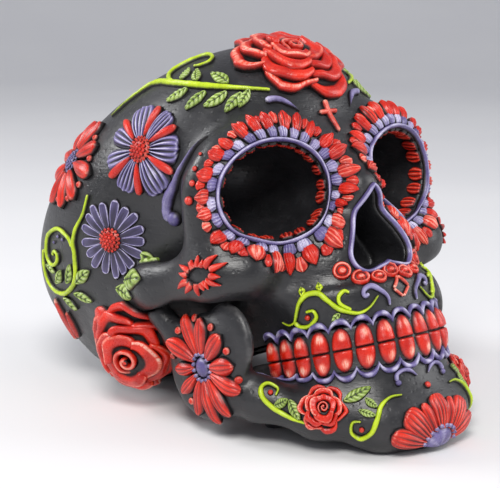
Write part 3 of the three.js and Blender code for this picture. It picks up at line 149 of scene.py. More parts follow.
def cranium_form(points):
    """The whole cranium before its sockets, nose and underside are cut."""
    p = folded(points)
    x, f, u = p
    level = above_bite(f, u)
    # Skull cap, its base, forehead, nape, and the knob behind the ear
    d = ellipsoid(p, (0, -12, 0), (61, 84, 47), 18)
    d = smooth_min(d, ellipsoid(p, (0, -14, -20), (56, 60, 42), 8), 14)
    d = smooth_min(d, ellipsoid(p, (0, 34, 4), (46, 35, 38)), 14)
    d = smooth_min(d, ellipsoid(p, (0, -32, -38), (42, 42, 26)), 14)
    d = smooth_min(d, ellipsoid(p, (47, -8, -45), (11, 14, 16)), 12)
    # Brow and socket bulge, outer socket edge, cheekbone, middle of the face, bridge of the nose
    d = smooth_min(d, ellipsoid(p, (28, 58, -9), (29, 13, 26), -22, 14), 10)
    d = smooth_min(d, limb(p, (47, 52, -8), (50, 48, -32), 8, 9, 1.3), 8)
    d = smooth_min(d, ellipsoid(p, (41, 55, -36), (13, 12, 10.5)), 8)
    d = smooth_min(d, ellipsoid(p, (0, 51, -40), (33, 32, 31)), 9)
    d = smooth_min(d, limb(p, (0, 65.6, 0), (0, 78, -16), 9.6, 7.2), 8)
    # Hollow of the temple, then the ridge of the upper teeth
    d = smooth_max(d, -ellipsoid(p, (70, 30, -6), (18, 18, 15)), 10)
    ridge = arch(x, f, ARCH["half_width"], ARCH["front"], ARCH["bend"])
    ridge = smooth_max(ridge, np.abs(level - 10) - 9.6, 2)
    d = smooth_min(d, smooth_max(ridge, 20 - f, 2), 9)
    # The cheek arch in two lengths, the gaps below it, and the hollow of the palate
    d = smooth_min(d, limb(p, (51, 48, -33), (56, 20, -31), 9, 6, 1.5), 7)
    d = smooth_min(d, limb(p, (56, 20, -31), (52, 4, -32), 6, 6, 1.5), 9)
    d = smooth_max(d, -ellipsoid(p, (49, 50, -60), (15, 22, 14)), 6)
    d = smooth_max(d, -ellipsoid(p, (45, 30, -52), (8, 17, 18)), 4)
    return smooth_max(d, -ellipsoid(p, (0, 44, -72), (20, 30, 15)), 3)


def jaw_form(points):
    """The lower jaw: curved body, chin, tooth wall, flat branch and joint head."""
    p = folded(points)
    x, f, u = p
    level = above_bite(f, u)
    # The body from its corner to the middle of the chin
    d = limb(p, (45, 34, -74), (41, 46, -79), 6, 7)
    d = smooth_min(d, limb(p, (41, 46, -79), (29, 62, -89), 7, 8), 6)
    d = smooth_min(d, limb(p, (29, 62, -89), (15, 74, -96.7), 8, 9), 6)
    d = smooth_min(d, limb(p, (15, 74, -96.7), (0, 78, -98.2), 9, 9.5), 6)
    d = smooth_min(d, ellipsoid(p, (0, 78.5, -99.7), (17, 8.5, 8)), 8)
    # The wall that carries the lower teeth, then the branch with its two horns
    wall = smooth_max(np.abs(arch(x, f, 25.8, 82, 61)) - 3.5, np.abs(level + 12) - 11.6, 2)
    d = smooth_min(d, smooth_max(wall, 30 - f, 2), 7)
    branch = smooth_max(np.abs(x - 47) - 4, np.hypot(f - 31, u + 64) - 19, 3)
    d = smooth_min(d, branch, 5)
    d = smooth_min(d, ellipsoid(p, (47, 46, -57), (4, 12, 13)), 4)
    d = smooth_min(d, limb(p, (47.5, 24, -58), (51, 15, -41), 4.5, 4.5), 5)
    return smooth_max(d, 0.6 - cranium_form(points), 0.5)


def floor_height(points):
    return MIDDLE[2] + points[..., 1] * math.sin(LEAN) + points[..., 2] * math.cos(LEAN)


def standing_back(points):
    return MIDDLE[1] - points[..., 1] * math.cos(LEAN) + points[..., 2] * math.sin(LEAN)


# The nose opening in the front view: half of its outline, from the top down to the middle below
NOSE_HALF = ((0, -17.6), (3.6, -22.5), (10.4, -34.0), (12.6, -40.2), (9.4, -44.9), (3.2, -43.9), (0, -42.8))


def smooth_path(spots, count):
    """Evenly spaced points on a Catmull-Rom curve through spots."""
    spots = np.asarray(spots, float)
    spots = np.concatenate([2 * spots[:1] - spots[1:2], spots, 2 * spots[-1:] - spots[-2:-1]])
    fine = []
    t = np.linspace(0, 1, 24, endpoint=False)[:, None]
    for a, b, c, d in zip(spots[:-3], spots[1:-2], spots[2:-1], spots[3:]):
        square, cube = 2 * a - 5 * b + 4 * c - d, 3 * b - a - 3 * c + d
        fine.append(0.5 * (2 * b + (c - a) * t + square * t**2 + cube * t**3))
    fine = np.concatenate(fine + [spots[-2:-1]])
    reach = np.concatenate([[0], np.cumsum(np.linalg.norm(np.diff(fine, axis=0), axis=1))])
    wanted = np.linspace(0, reach[-1], count)
    return np.stack([np.interp(wanted, reach, fine[:, k]) for k in range(fine.shape[1])], 1)


def nose_outline(count):
    half = smooth_path(NOSE_HALF, count // 2 + 1)
    return np.concatenate([half, half[-2:0:-1] * [-1, 1]])


def nose_distance(points):
    """Distance in the front view to the nose outline, negative inside it."""
    outline = nose_outline(48)
    spot = np.stack([points[..., 0], points[..., 2]], -1)
    nearest = np.full(spot.shape[:-1], 1e9)
    inside = np.zeros(spot.shape[:-1], bool)
    for a, b in zip(outline, np.roll(outline, -1, 0)):
        run = b - a
        along = unit(((spot - a) @ run) / (run @ run))
        nearest = np.minimum(nearest, np.linalg.norm(spot - a - along[..., None] * run, axis=-1))
        if a[1] != b[1]:
            crosses = (a[1] > spot[..., 1]) != (b[1] > spot[..., 1])
            inside ^= crosses & (spot[..., 0] < a[0] + run[0] * (spot[..., 1] - a[1]) / run[1])
    return np.where(inside, -nearest, nearest)


def socket_distance(points):
    return ellipsoid(folded(points), SOCKET["centre"], SOCKET["radii"], SOCKET["tilt"], SOCKET["yaw"])


def cranium_cut(points):
    """The cranium with sockets, nose, hollow, pour hole and flat underside."""
    d = cranium_form(points)
    d = smooth_max(d, -socket_distance(points), 1.2)
    near = (np.abs(points[..., 0]) < 22) & (points[..., 1] > 50) & (np.abs(points[..., 2] + 32) < 24)
    nose = np.full(d.shape, 9.0)
    nose[near] = nose_distance(points[near])
    d = smooth_max(d, -smooth_max(nose, NOSE_FLOOR - points[..., 1], 2), 1.0)
    d = np.maximum(d, -ellipsoid(folded(points), CAVITY["centre"], CAVITY["radii"], CAVITY["tilt"]))
    hole_back = MIDDLE[1] - POUR_HOLE_BACK * math.cos(LEAN)
    bore = np.hypot(points[..., 0], standing_back(points) - hole_back) - POUR_HOLE_RADIUS
    d = np.maximum(d, -np.maximum(bore, floor_height(points) - 30))
    return smooth_max(d, -floor_height(points), 0.6)


def jaw_cut(points):
    return smooth_max(jaw_form(points), -floor_height(points), 0.6)


def slope(form, points):
    grown = np.empty_like(points)
    for axis in range(3):
        ahead, behind = points.copy(), points.copy()
        ahead[..., axis] += PROBE
        behind[..., axis] -= PROBE
        grown[..., axis] = (form(ahead) - form(behind)) / (2 * PROBE)
    return grown


def settle(form, points, turns=2):
    """Move points along the slope until they lie on the form; gives the points and normals."""
    points = np.array(points, float)
    for _ in range(turns):
        steep = slope(form, points)
        points -= steep * (form(points) / np.maximum((steep**2).sum(-1), 1e-9))[..., None]
    steep = slope(form, points)
    return points, steep / np.linalg.norm(steep, axis=-1, keepdims=True)


def march(form, points, heading, steps):
    """Move points along a heading until they meet the form."""
    for _ in range(steps):
        points = points + heading * (np.maximum(form(points), 0) * MARCH_SHARE)[..., None]
    return points


# Meshes


def to_row(points):
    """From the bone's frame in millimetres to the row's frame in metres."""
    standing = MIDDLE + points[..., :1] * [1, 0, 0] + points[..., 1:2] * FORWARD + points[..., 2:] * UPWARD
    return (standing + ROW_SHIFT) * MM


def make_object(name, points, faces, paint, node, layers, uv=None):
    """A painted mesh on the root body; layers holds the values that its paint reads."""
    mesh = bpy.data.meshes.new(name)
    # The bone's frame is left-handed, so a face that points out there is turned round here
    mesh.from_pydata(to_row(points).tolist(), [], [face[::-1] for face in faces])
    mesh.validate()
    mesh.polygons.foreach_set("use_smooth", [True] * len(mesh.polygons))
    for label, values in layers.items():
        layer = mesh.attributes.new(label, "FLOAT", "POINT")
        layer.data.foreach_set("value", np.asarray(values, np.float32))
    if uv is not None:
        loops = np.empty(len(mesh.loops), int)
        mesh.loops.foreach_get("vertex_index", loops)
        mesh.uv_layers.new(name="UVMap").data.foreach_set("uv", uv[loops].astype(np.float32).ravel())
    mesh.materials.append(paint.material)
    obj = bpy.data.objects.new(name, mesh)
    bpy.context.scene.collection.objects.link(obj)
    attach(obj, "root")
    if node:
        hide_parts(node)


def net_of(form, low, high, cell):
    """Surface nets: one vertex in each grid cell that the surface crosses, joined by quads."""
    axes = [np.arange(low[i], high[i] + cell, cell) for i in range(3)]
    grid = np.stack(np.meshgrid(*axes, indexing="ij"), -1)
    value = np.empty(grid.shape[:3])
    for i in range(0, len(axes[0]), 16):
        value[i : i + 16] = form(grid[i : i + 16])
    n = value.shape
    total = np.zeros((n[0] - 1, n[1] - 1, n[2] - 1, 3))
    count = np.zeros(total.shape[:3])

    def block(offset):
        return tuple(slice(offset[i], n[i] - 1 + offset[i]) for i in range(3))

    for corner in np.ndindex(2, 2, 2):
        for axis in range(3):
            if corner[axis]:
                continue
            other = tuple(c + (k == axis) for k, c in enumerate(corner))
            first, second = value[block(corner)], value[block(other)]
            crossed = (first < 0) != (second < 0)
            share = np.where(crossed, first / np.where(crossed, first - second, 1), 0)
            start = grid[block(corner)]
            step = (grid[block(other)] - start) * share[..., None]
            total += np.where(crossed[..., None], start + step, 0)
            count += crossed
    active = count > 0
    number = -np.ones(active.shape, int)
    number[active] = np.arange(active.sum())
    points = total[active] / count[active][:, None]
    faces = []
    for axis in range(3):
        one, two = [k for k in range(3) if k != axis]
        here = [slice(0, n[k]) for k in range(3)]
        here[axis] = slice(0, n[axis] - 1)
        here[one] = slice(1, n[one] - 1)
        here[two] = slice(1, n[two] - 1)
        there = list(here)
        there[axis] = slice(1, n[axis])
        inside, outside = value[tuple(here)] < 0, value[tuple(there)] < 0
        crossed = inside != outside
        cells = np.argwhere(crossed)
        cells[:, one] += 1
        cells[:, two] += 1
        corners = []
        for back, side in ((0, 0), (1, 0), (1, 1), (0, 1)):
            at = cells.copy()
            at[:, one] -= back
            at[:, two] -= side
            corners.append(number[at[:, 0], at[:, 1], at[:, 2]])
        quads = np.stack(corners, -1)
        turned = inside[crossed] if axis != 1 else ~inside[crossed]
        quads[~turned] = quads[~turned][:, ::-1]
        faces.append(quads)
    return points, np.concatenate(faces)


def bend_of(points, faces):
    """How convex the surface is at each vertex, smoothed over its neighbours, -1 to 1."""
    edges = np.concatenate([faces[:, [i, (i + 1) % 4]] for i in range(4)])
    degree = np.bincount(edges.ravel(), minlength=len(points)).astype(float)

    def average(values):
        total = np.zeros((len(points),) + values.shape[1:])
        np.add.at(total, edges[:, 0], values[edges[:, 1]])
        np.add.at(total, edges[:, 1], values[edges[:, 0]])
        return total / degree.reshape((-1,) + (1,) * (values.ndim - 1))

    smooth = points
    for _ in range(4):
        smooth = average(smooth)
    corners = points[faces]
    normal = np.cross(corners[:, 2] - corners[:, 0], corners[:, 3] - corners[:, 1])
    normals = np.zeros_like(points)
    for k in range(4):
        np.add.at(normals, faces[:, k], normal)
    normals /= np.maximum(np.linalg.norm(normals, axis=1, keepdims=True), 1e-9)
    bend = ((points - smooth) * normals).sum(1)
    for _ in range(3):
        bend = average(bend)
    return np.clip(bend / (0.35 * BONE_CELL), -1, 1)


def bone_object(node, form, low, high):
    points, faces = net_of(form, low, high, BONE_CELL)
    points, _ = settle(form, points, 1)
    layers = {"bend": bend_of(points, faces)}
    make_object(f"painted_{node}", points, faces.tolist(), BLACK, node, layers)


def crest_of(height, closed):
    """How far each place of a sheet stands over its surroundings, -1 to 1."""
    reach = 2
    mode = "wrap" if closed else "edge"
    wide = np.pad(height, ((reach, reach), (0, 0)), mode=mode)
    wide = np.pad(wide, ((0, 0), (reach, reach)), mode="edge")
    along, across = height.shape
    total = np.zeros_like(height)
    for i in range(2 * reach + 1):
        for j in range(2 * reach + 1):
            total += wide[i : i + along, j : j + across]
    scale = max(0.16, 0.3 * height.max())
    return np.clip((height - total / (2 * reach + 1) ** 2) / scale, -1, 1)


class Relief:
    """Sheets of relief gathered into one mesh, each closed underneath, inside the bone."""

    def __init__(self):
        self.points, self.faces, self.rise, self.bend, self.uv, self.count = [], [], [], [], [], 0

    def sheet(self, base, normal, height, rise, closed=False, uv_seed=0.0, crest=None):
        """A sheet whose arrays run along it first and across it second.

        base and normal give its places on the bone, height its height over them, rise and crest
        the values that the paint reads, and uv_seed the start of the paint's streaks.
        """
        along, across = height.shape
        top = base + normal * height[..., None]
        start = self.count
        number = np.arange(along * across).reshape(along, across) + start
        quads = []
        rows = along if closed else along - 1
        for i in range(rows):
            j = (i + 1) % along
            for k in range(across - 1):
                quads.append([number[i, k], number[j, k], number[j, k + 1], number[i, k + 1]])
            quads.append([number[i, across - 1], number[j, across - 1], number[j, 0], number[i, 0]])
        if not closed:
            quads.append(list(number[0, :]))
            quads.append(list(number[-1, ::-1]))
        bend = crest_of(height, closed) if crest is None else np.clip(crest, -1, 1)
        self.gather(top, quads, normal, rise, bend, uv_seed)

    def cap(self, base, normal, height, rise):
        """A disc closed underneath, whose arrays run over its rings, from the middle, and sides."""
        rings, sides = height.shape
        top = base + normal * height[..., None]
        number = np.arange(rings * sides).reshape(rings, sides) + self.count
        last = self.count + rings * sides
        quads = []
        for j in range(sides):
            k = (j + 1) % sides
            for i in range(rings - 1):
                quads.append([number[i, j], number[i + 1, j], number[i + 1, k], number[i, k]])
            quads.append([number[0, k], last, number[0, j]])
            quads.append([number[-1, j], last + 1, number[-1, k]])
        under = top[-1].mean(0) - normal[0].mean(0) * SINK
        self.gather(top, quads, normal, rise, crest_of(height.T, True).T, 0.0)
        self.points.append(np.stack([top[0].mean(0), under]))
        self.rise.append(np.array([rise[0, 0], 0.0]))
        self.bend.append(np.array([0.5, 0.0]))
        self.uv.append(np.zeros((2, 2)))
        self.count += 2

    def gather(self, top, quads, normal, rise, bend, uv_seed):
        along, across = rise.shape
        row, column = along // 2, across // 2
        corner = top[row, column]
        s, t = top[(row + 1) % along, column] - corner, top[row, (column + 1) % across] - corner
        if np.dot(np.cross(s, t), normal[row, column]) < 0:
            quads = [q[::-1] for q in quads]
        self.points.append(top.reshape(-1, 3))
        self.rise.append(rise.ravel())
        self.bend.append(bend.ravel())
        s_lin = np.repeat(np.linspace(0, 1, along), across) + uv_seed
        t_lin = np.tile(np.linspace(0, 1, across), along) + uv_seed * 1.7
        self.uv.append(np.stack([s_lin, t_lin], 1))
        self.faces += [[int(v) for v in q] for q in quads]
        self.count += along * across

    def build(self, name, paint, own=True, both=True):
        """One object, or a right_ and a left_ one that mirrors it.

        A piece with a node of its own is called after it, and own is False for the others.
        """
        layers = {"rise": np.concatenate(self.rise), "bend": np.concatenate(self.bend)}
        points, uv = np.concatenate(self.points), np.concatenate(self.uv)
        piece = f"painted_{name}" if own else name
        if not both:
            make_object(piece, points, self.faces, paint, name if own else None, layers, uv)
            return
        make_object(f"right_{piece}", points, self.faces, paint, f"right_{name}" if own else None, layers, uv)
        points, faces = points * [-1, 1, 1], [face[::-1] for face in self.faces]
        make_object(f"left_{piece}", points, faces, paint, f"left_{name}" if own else None, layers, uv)


def grid(along, across):
    """Shares along 0..1 and across -1..1 as S x T arrays."""
    return np.meshgrid(np.linspace(0, 1, along), np.linspace(-1, 1, across), indexing="ij")


class Chart:
    """A map of the bone round a seat: an angle and a distance walked over the bone give a place."""

    STEP = 0.5

    def __init__(self, form, seat, reach, angles=120):
        self.angles = angles
        start, inward = (np.array([part], float) for part in seat)
        inward /= np.linalg.norm(inward, axis=-1, keepdims=True)
        point, normal = settle(form, march(form, start, inward, 60))
        up = np.array([[0.0, 0.0, 1.0]])
        ahead = up - normal * (up * normal).sum(-1, keepdims=True)
        ahead /= np.linalg.norm(ahead)
        side = np.cross(normal, ahead)
        turn = np.linspace(0, FULL_TURN, angles, endpoint=False)[:, None]
        heading = side * np.cos(turn) + ahead * np.sin(turn)
        self.walk(form, np.repeat(point, angles, 0), np.repeat(normal, angles, 0), heading, reach)

    def walk(self, form, here, out, heading, reach):
        places, normals = [here.copy()], [out.copy()]
        for _ in range(int(reach / self.STEP) + 2):
            here, out = settle(form, here + heading * self.STEP, 1)
            heading = heading - out * (heading * out).sum(-1, keepdims=True)
            heading /= np.linalg.norm(heading, axis=-1, keepdims=True)
            places.append(here.copy())
            normals.append(out.copy())
        self.places, self.normals = np.array(places), np.array(normals)

    def polar(self, angle, radius):
        """Places and normals at angles and distances of one shape."""
        row = np.clip(radius / self.STEP, 0, len(self.places) - 1.001)
        column = np.mod(np.asarray(angle) / FULL_TURN, 1) * self.angles
        r0, c0 = row.astype(int), column.astype(int)
        fr, fc = (row - r0)[..., None], (column - c0)[..., None]
        r1, c1 = r0 + 1, (c0 + 1) % self.angles
        c0 = c0 % self.angles

        def blend(table):
            near = table[r0, c0] * (1 - fc) + table[r0, c1] * fc
            far = table[r1, c0] * (1 - fc) + table[r1, c1] * fc
            return near * (1 - fr) + far * fr

        normal = blend(self.normals)
        return blend(self.places), normal / np.linalg.norm(normal, axis=-1, keepdims=True)

    def flat(self, x, y):
        return self.polar(np.arctan2(y, x), np.hypot(x, y))


# Middles that seats are looked for from
HEAD = (0, 0, 0)
FACE = (0, 40, -40)
JAW = (0, 45, -85)


def chart_at(form, middle, place, reach):
    """A chart seated where the form lies on the line from a middle through a place."""
    middle, place = np.array(middle, float), np.array(place, float)
    outward = (place - middle) / np.linalg.norm(place - middle)
    return Chart(form, (place + outward * 60, -outward), reach)


# Ornament building blocks

PETAL_ROWS = 26
PETAL_COLUMNS = 15
ROSE_GRID = (30, 27)
LEAF_GRID = (40, 19)


def turned(x, y, angle):
    return x * math.cos(angle) - y * math.sin(angle), x * math.sin(angle) + y * math.cos(angle)


def bump_at(value, centre, width):
    return np.exp(-(((value - centre) / width) ** 2))


def plump(s, t, shoulder, start, stop, ahead=0.0):
    """1 over most of a petal, falling to 0 at its sides and over its first and last shares.

    A higher shoulder keeps it full nearer to the sides; ahead lets it begin above 0.
    """
    sides = unit(1 - np.abs(t) ** shoulder) ** 0.6
    return sides * unit(np.minimum((s + ahead) / start, (1 - s) / stop)) ** 0.5


def seated(height, fall):
    """A height over the bone that sinks a little into it where fall reaches 0."""
    return (height + SINK) * fall - SINK


def petal_outline(s, belly, root, point):
    """Half width along a petal as a share: widening to the belly, then round or pointed."""
    grow = root + (1 - root) * np.sin(np.pi / 2 * unit(s / belly))
    close = unit((s - belly) / (1 - belly))
    return grow * unit(1 - close ** (2.6 - 1.2 * point)) ** (0.5 + 0.45 * point)


def add_petal(
    relief, chart, angle, inner, outer, width, height, ribs=0, seed=0.0, belly=0.66, point=0.5,
    root=0.35, carve=0.26, fade=0.3, rim=0.0, drawn=0.6, tip=0.4, lobed=0.0, sway=0.0,
):
    """One petal of a flower lying on a chart, from the hub outwards.

    belly is where it is widest, 0 to 1, point how pointed its tip is and root its width share at
    the hub. carve and fade say how deep the grooves are and how soon they die out, drawn how
    strongly they are painted, and tip how black the tip is. rim raises an outline round a sunk
    middle, lobed notches the end, and sway bows the petal sideways.
    """
    s, t = grid(PETAL_ROWS, max(PETAL_COLUMNS, 6 * ribs + 1))
    half = width * np.maximum(petal_outline(s, belly, root, point), 0.01) / 2
    x = inner + (outer - inner) * (s - (0.03 + 0.04 * point) * t**2 * s**3)
    x = x + lobed * (outer - inner) * np.cos(2.6 * np.pi * t) * s**4
    y = half * t + sway * width * np.sin(s * np.pi) * 0.25
    fall = plump(s, t, 3.0, 0.06, 0.08, 0.02)
    body = 0.72 + 0.28 * np.sin(np.pi * unit(s * 1.02))
    groove = 0.5 - 0.5 * np.cos(ribs * np.pi * t) if ribs else np.zeros_like(t)
    dying = unit(1 - s) ** fade
    edge = np.maximum(bump_at(np.abs(t), 0.84, 0.17), bump_at(s, 0.95, 0.05))
    body = body * (1 - carve * dying * groove) - rim * (1 - edge) * unit(s / 0.15)
    h = seated(height * body, fall)
    crest = crest_of(h, False) * 0.5
    if ribs:
        crest = crest + drawn * (0.55 - 1.5 * groove) * dying**0.6
    if rim:
        crest = np.where(edge > 0.45, 1.0, -0.32 - 0.25 * (1 - s)) * fall
    base, normal = chart.flat(*turned(x, y, angle))
    rise = unit(1.2 * fall**1.9) * unit(0.45 + s * 3) * (1 - tip * unit((s - 0.84) / 0.16))
    relief.sheet(base, normal, h, rise, uv_seed=seed, crest=crest)


def add_dot(relief, chart, x, y, radius, height, lift=0.0, rings=6, sides=16):
    """A small domed bead at a place on a chart."""
    ring = np.linspace(0.02, 1, rings)
    turn = np.linspace(0, FULL_TURN, sides, endpoint=False)
    reach, angle = np.meshgrid(ring * radius, turn, indexing="ij")
    base, normal = chart.flat(x + reach * np.cos(angle), y + reach * np.sin(angle))
    h = seated(height, unit(1 - (reach / radius) ** 2) ** 0.5)
    relief.cap(base, normal, h + lift, unit(h / height))


def add_dot_at(relief, chart, angle, reach, radius, height, **fineness):
    add_dot(relief, chart, reach * math.cos(angle), reach * math.sin(angle), radius, height, **fineness)


def add_beads(relief, chart, radius, bead, height, dome):
    """Beads in rings over a dome of the given height."""
    rings = max(int(round(radius / (bead * 1.75))), 1)
    for ring in range(rings + 1):
        reach = ring * radius / (rings + 0.15)
        count = 1 if ring == 0 else max(int(round(FULL_TURN * reach / (bead * 2.02))), 3)
        for k in range(count):
            angle = FULL_TURN * (k + 0.5 * (ring % 2)) / count
            lift = dome * math.sqrt(max(1 - (reach / radius) ** 2 * 0.82, 0)) - 0.2
            size = bead * (1 + 0.08 * math.sin(k * 2.4 + ring * 1.7))
            add_dot_at(relief, chart, angle, reach, size, height, lift=lift, rings=5, sides=12)


def add_seed_head(name, paint, chart, radius, seeded, dome, bead, bead_height):
    """The middle of a flower: a dome, covered with beads out to the radius seeded."""
    centre = Relief()
    add_dot(centre, chart, 0, 0, radius, dome, rings=9, sides=32)
    add_beads(centre, chart, seeded, bead, bead_height, dome)
    centre.build(name, paint)


def sides_along(form, path):
    """A path laid on a form, and the direction across it at each point."""
    path, normal = settle(form, path, 4)
    side = np.cross(normal, np.gradient(path, axis=0))
    return path, side / np.linalg.norm(side, axis=1, keepdims=True)


def across_path(form, path, side, half, t):
    """Places and normals on a form beside a path: half is its half width at each point."""
    return settle(form, path[:, None] + side[:, None] * (half[:, None] * t)[..., None], 3)


def add_blade(relief, form, path, half, height, seed=0.0):
    """A sheet along a path: half is its half width at each point, height an S x T grid."""
    path, side = sides_along(form, path)
    base, normal = across_path(form, path, side, half, round_shares(height.shape[1]))
    share = unit(height / max(height.max(), 1e-6))
    relief.sheet(base, normal, height, share, uv_seed=seed)


def add_stroke(relief, form, path, width, height, start, end, swell=(0.35, 0.65), seed=0.0):
    """A half-round line of thick paint.

    start and end are the width shares of its two tips, and between the two shares of swell it
    has its full width.
    """
    path = np.asarray(path, float)
    s = np.linspace(0, 1, len(path))
    reach = np.concatenate([[0], np.cumsum(np.linalg.norm(np.diff(path, axis=0), axis=1))])
    full = np.interp(s, [0, *swell, 1], [start, 1, 1, end])
    full = full * (1 + 0.035 * np.sin(reach * 0.9 + seed) + 0.025 * np.sin(reach * 1.7 + 2 * seed))
    half = width / 2 * full
    tip = np.minimum(reach / (half[0] * 1.1), (reach[-1] - reach) / (half[-1] * 1.1))
    tip = np.sqrt(unit(1 - (1 - unit(tip)) ** 2))
    profile = np.sqrt(unit(1 - round_shares(11) ** 2))
    h = seated((height * full**0.6)[:, None], profile * tip[:, None] ** 0.7)
    add_blade(relief, form, path, half * np.maximum(tip, 0.05), h, seed)


def add_leaf(relief, form, root, tip, width, height, bow, seed, ribs):
    """A pointed leaf from root to tip: a sunk midrib and slanting veins between plump lobes."""
    root, tip = np.array(root, float), np.array(tip, float)
    along, across = LEAF_GRID
    s, t = np.linspace(0, 1, along), round_shares(across)
    path, normal = settle(form, root + (tip - root) * s[:, None], 3)
    sideways = np.cross(normal[along // 2], tip - root)
    sideways /= np.linalg.norm(sideways)
    path = path + sideways * (bow * np.sin(np.pi * s))[:, None]
    half = width / 2 * np.maximum(petal_outline(s, 0.45, 0.16, 0.75), 0.03)
    ss, tt = np.meshgrid(s, t, indexing="ij")
    veins = bump_at(np.mod(ribs * (ss - 0.2 * np.abs(tt)), 1), 0.5, 0.17) * unit(1.15 - np.abs(tt))
    midrib = bump_at(tt, 0, 0.1) * (1 - 0.4 * ss)
    body = 1.0 - 0.34 * np.maximum(veins * 0.9, midrib)
    h = seated(height * body, plump(ss, tt, 4, 0.05, 0.05))
    path, side = sides_along(form, path)
    base, out = across_path(form, path, side, half, t)
    crest = 0.55 - 1.5 * np.maximum(veins, midrib)
    relief.sheet(base, out, h, unit(h / height), uv_seed=seed, crest=crest)


def add_smooth_petal(relief, form, root, tip, width, height, seed):
    """A smooth plump petal between two spots on a form."""
    root, tip = np.array(root, float), np.array(tip, float)
    s = np.linspace(0, 1, 30)
    path, _ = settle(form, root + (tip - root) * s[:, None], 3)
    half = width / 2 * np.maximum(petal_outline(s, 0.5, 0.3, 0.6), 0.03)
    ss, tt = np.meshgrid(s, round_shares(17), indexing="ij")
    body = 0.8 + 0.2 * np.sin(np.pi * ss) - 0.12 * (0.5 - 0.5 * np.cos(2 * np.pi * tt))
    add_blade(relief, form, path, half, seated(height * body, plump(ss, tt, 3, 0.05, 0.06)), seed)


def add_bead(relief, form, spot, radius, height):
    """A round drop of paint at a spot on a form."""
    point, normal = settle(form, np.array([spot], float), 6)
    ahead = np.array([0.0, 0.0, 1.0]) - normal[0] * normal[0][2]
    ahead /= np.linalg.norm(ahead)
    side = np.cross(normal[0], ahead)
    reach, angle = np.meshgrid(
        np.sin(np.linspace(0.03, math.pi / 2, 7)) * radius,
        np.linspace(0, FULL_TURN, 18, endpoint=False),
        indexing="ij",
    )
    flat = side * (reach * np.cos(angle))[..., None] + ahead * (reach * np.sin(angle))[..., None]
    base, out = settle(form, point[0] + flat, 3)
    h = seated(height, np.sqrt(unit(1 - (reach / radius) ** 2)))
    relief.cap(base, out, h, unit(h / height))


def add_lines(name, paint, form, lines=(), beads=(), leaves=(), own=True, both=True):
    """One piece of painted lines, drops and small leaves on a form.

    A line gives its spots, the count of points that it is laid through, and the rest of what
    add_stroke takes; a bead its spot, radius and height; a leaf what add_leaf takes.
    """
    relief = Relief()
    for spots, count, *stroke in lines:
        add_stroke(relief, form, smooth_path(spots, count), *stroke)
    for bead in beads:
        add_bead(relief, form, *bead)
    for leaf in leaves:
        add_leaf(relief, form, *leaf)
    relief.build(name, paint, own, both)


def leaves_of(table, height, bows, ribs):
    """What add_leaf takes, from a table of roots, tips and widths."""
    return [(*leaf, height, bows(k), k * 0.7, ribs) for k, leaf in enumerate(table)]


def add_rose_petal(relief, chart, angle, spread, band, heights, tilt, point, seed):
    """One broad petal of a rose: hidden below the next whorl, rising to a lip that rolls outwards.

    band holds its inner end, where the next whorl lets it show, and its outer end; heights holds
    the floor of the gap, the lip and the rolled edge over the bone.
    """
    inner, shown, outer = band
    gap, top, edge = heights
    s, t = grid(*ROSE_GRID)
    wave = 0.03 * np.sin(2.2 * np.pi * t + seed * 9)
    tip = unit(1 - np.abs(t - 0.3 * math.sin(seed * 7)) / 0.7)
    reach = outer * (1 - 0.2 * np.abs(t) ** 2.5 + point * tip + wave)
    radius = inner + (reach - inner) * s
    turn = angle + spread * t * (0.86 + 0.14 * s)
    start = (shown - inner) / (outer - inner)
    climb = unit((s - start + 0.02) / 0.3)
    climb = climb * climb * (3 - 2 * climb)
    droop = unit((s - 0.8) / 0.2) ** 2.4
    ripple = 0.05 * top * np.sin(2.7 * np.pi * t + seed * 5) * climb
    h = gap + (top - gap) * (0.82 * climb + 0.18 * unit(s / 0.85)) - (top - edge) * droop
    h = h + ripple + tilt * t * climb
    fall = unit((1 - s) / 0.035) ** 0.5 * unit((1 - np.abs(t)) / 0.06) ** 0.5
    fall = fall * unit(s / 0.04 + 0.2)
    base, normal = chart.polar(turn, radius)
    # The part below the next whorl is dark with black wash and painted shade; the lip's pale crest is
    # dry-brush and painted highlight
    rise = unit(1.1 * climb - 0.05) * unit(fall**1.5 * 1.1) * (1 - 0.6 * unit((s - 0.9) / 0.1))
    crest = 0.8 * bump_at(s, 0.84, 0.09) * (0.6 + 0.4 * np.sin(seed * 13)) - 0.35 * (1 - climb)
    relief.sheet(base, normal, seated(h, fall), rise, uv_seed=seed, crest=crest)


def add_rose(relief, chart, radius, height, layers, twist):
    """A rose: whorls of overlapping petals that climb towards a tight spiral bud."""
    seed = 0.0
    for number, (petals, outer, shown, gap, top, edge) in enumerate(layers):
        point = 0.17 if number == 0 else 0.11
        for k in range(petals):
            seed += 0.37
            sway = 0.07 * math.sin(k * 2.6 + number)
            angle = twist + FULL_TURN * (k + 0.45 * number) / petals + sway
            reach = outer * (1 + 0.04 * math.sin(k * 3.3 + number * 2))
            band = [share * radius for share in (shown * 0.72, shown, reach)]
            heights = [share * height for share in (gap, top, edge)]
            spread = FULL_TURN / petals * 0.6
            add_rose_petal(relief, chart, angle, spread, band, heights, 0.12 * height, point, seed)
    add_rose_bud(relief, chart, radius * layers[-1][2], height, twist, seed)


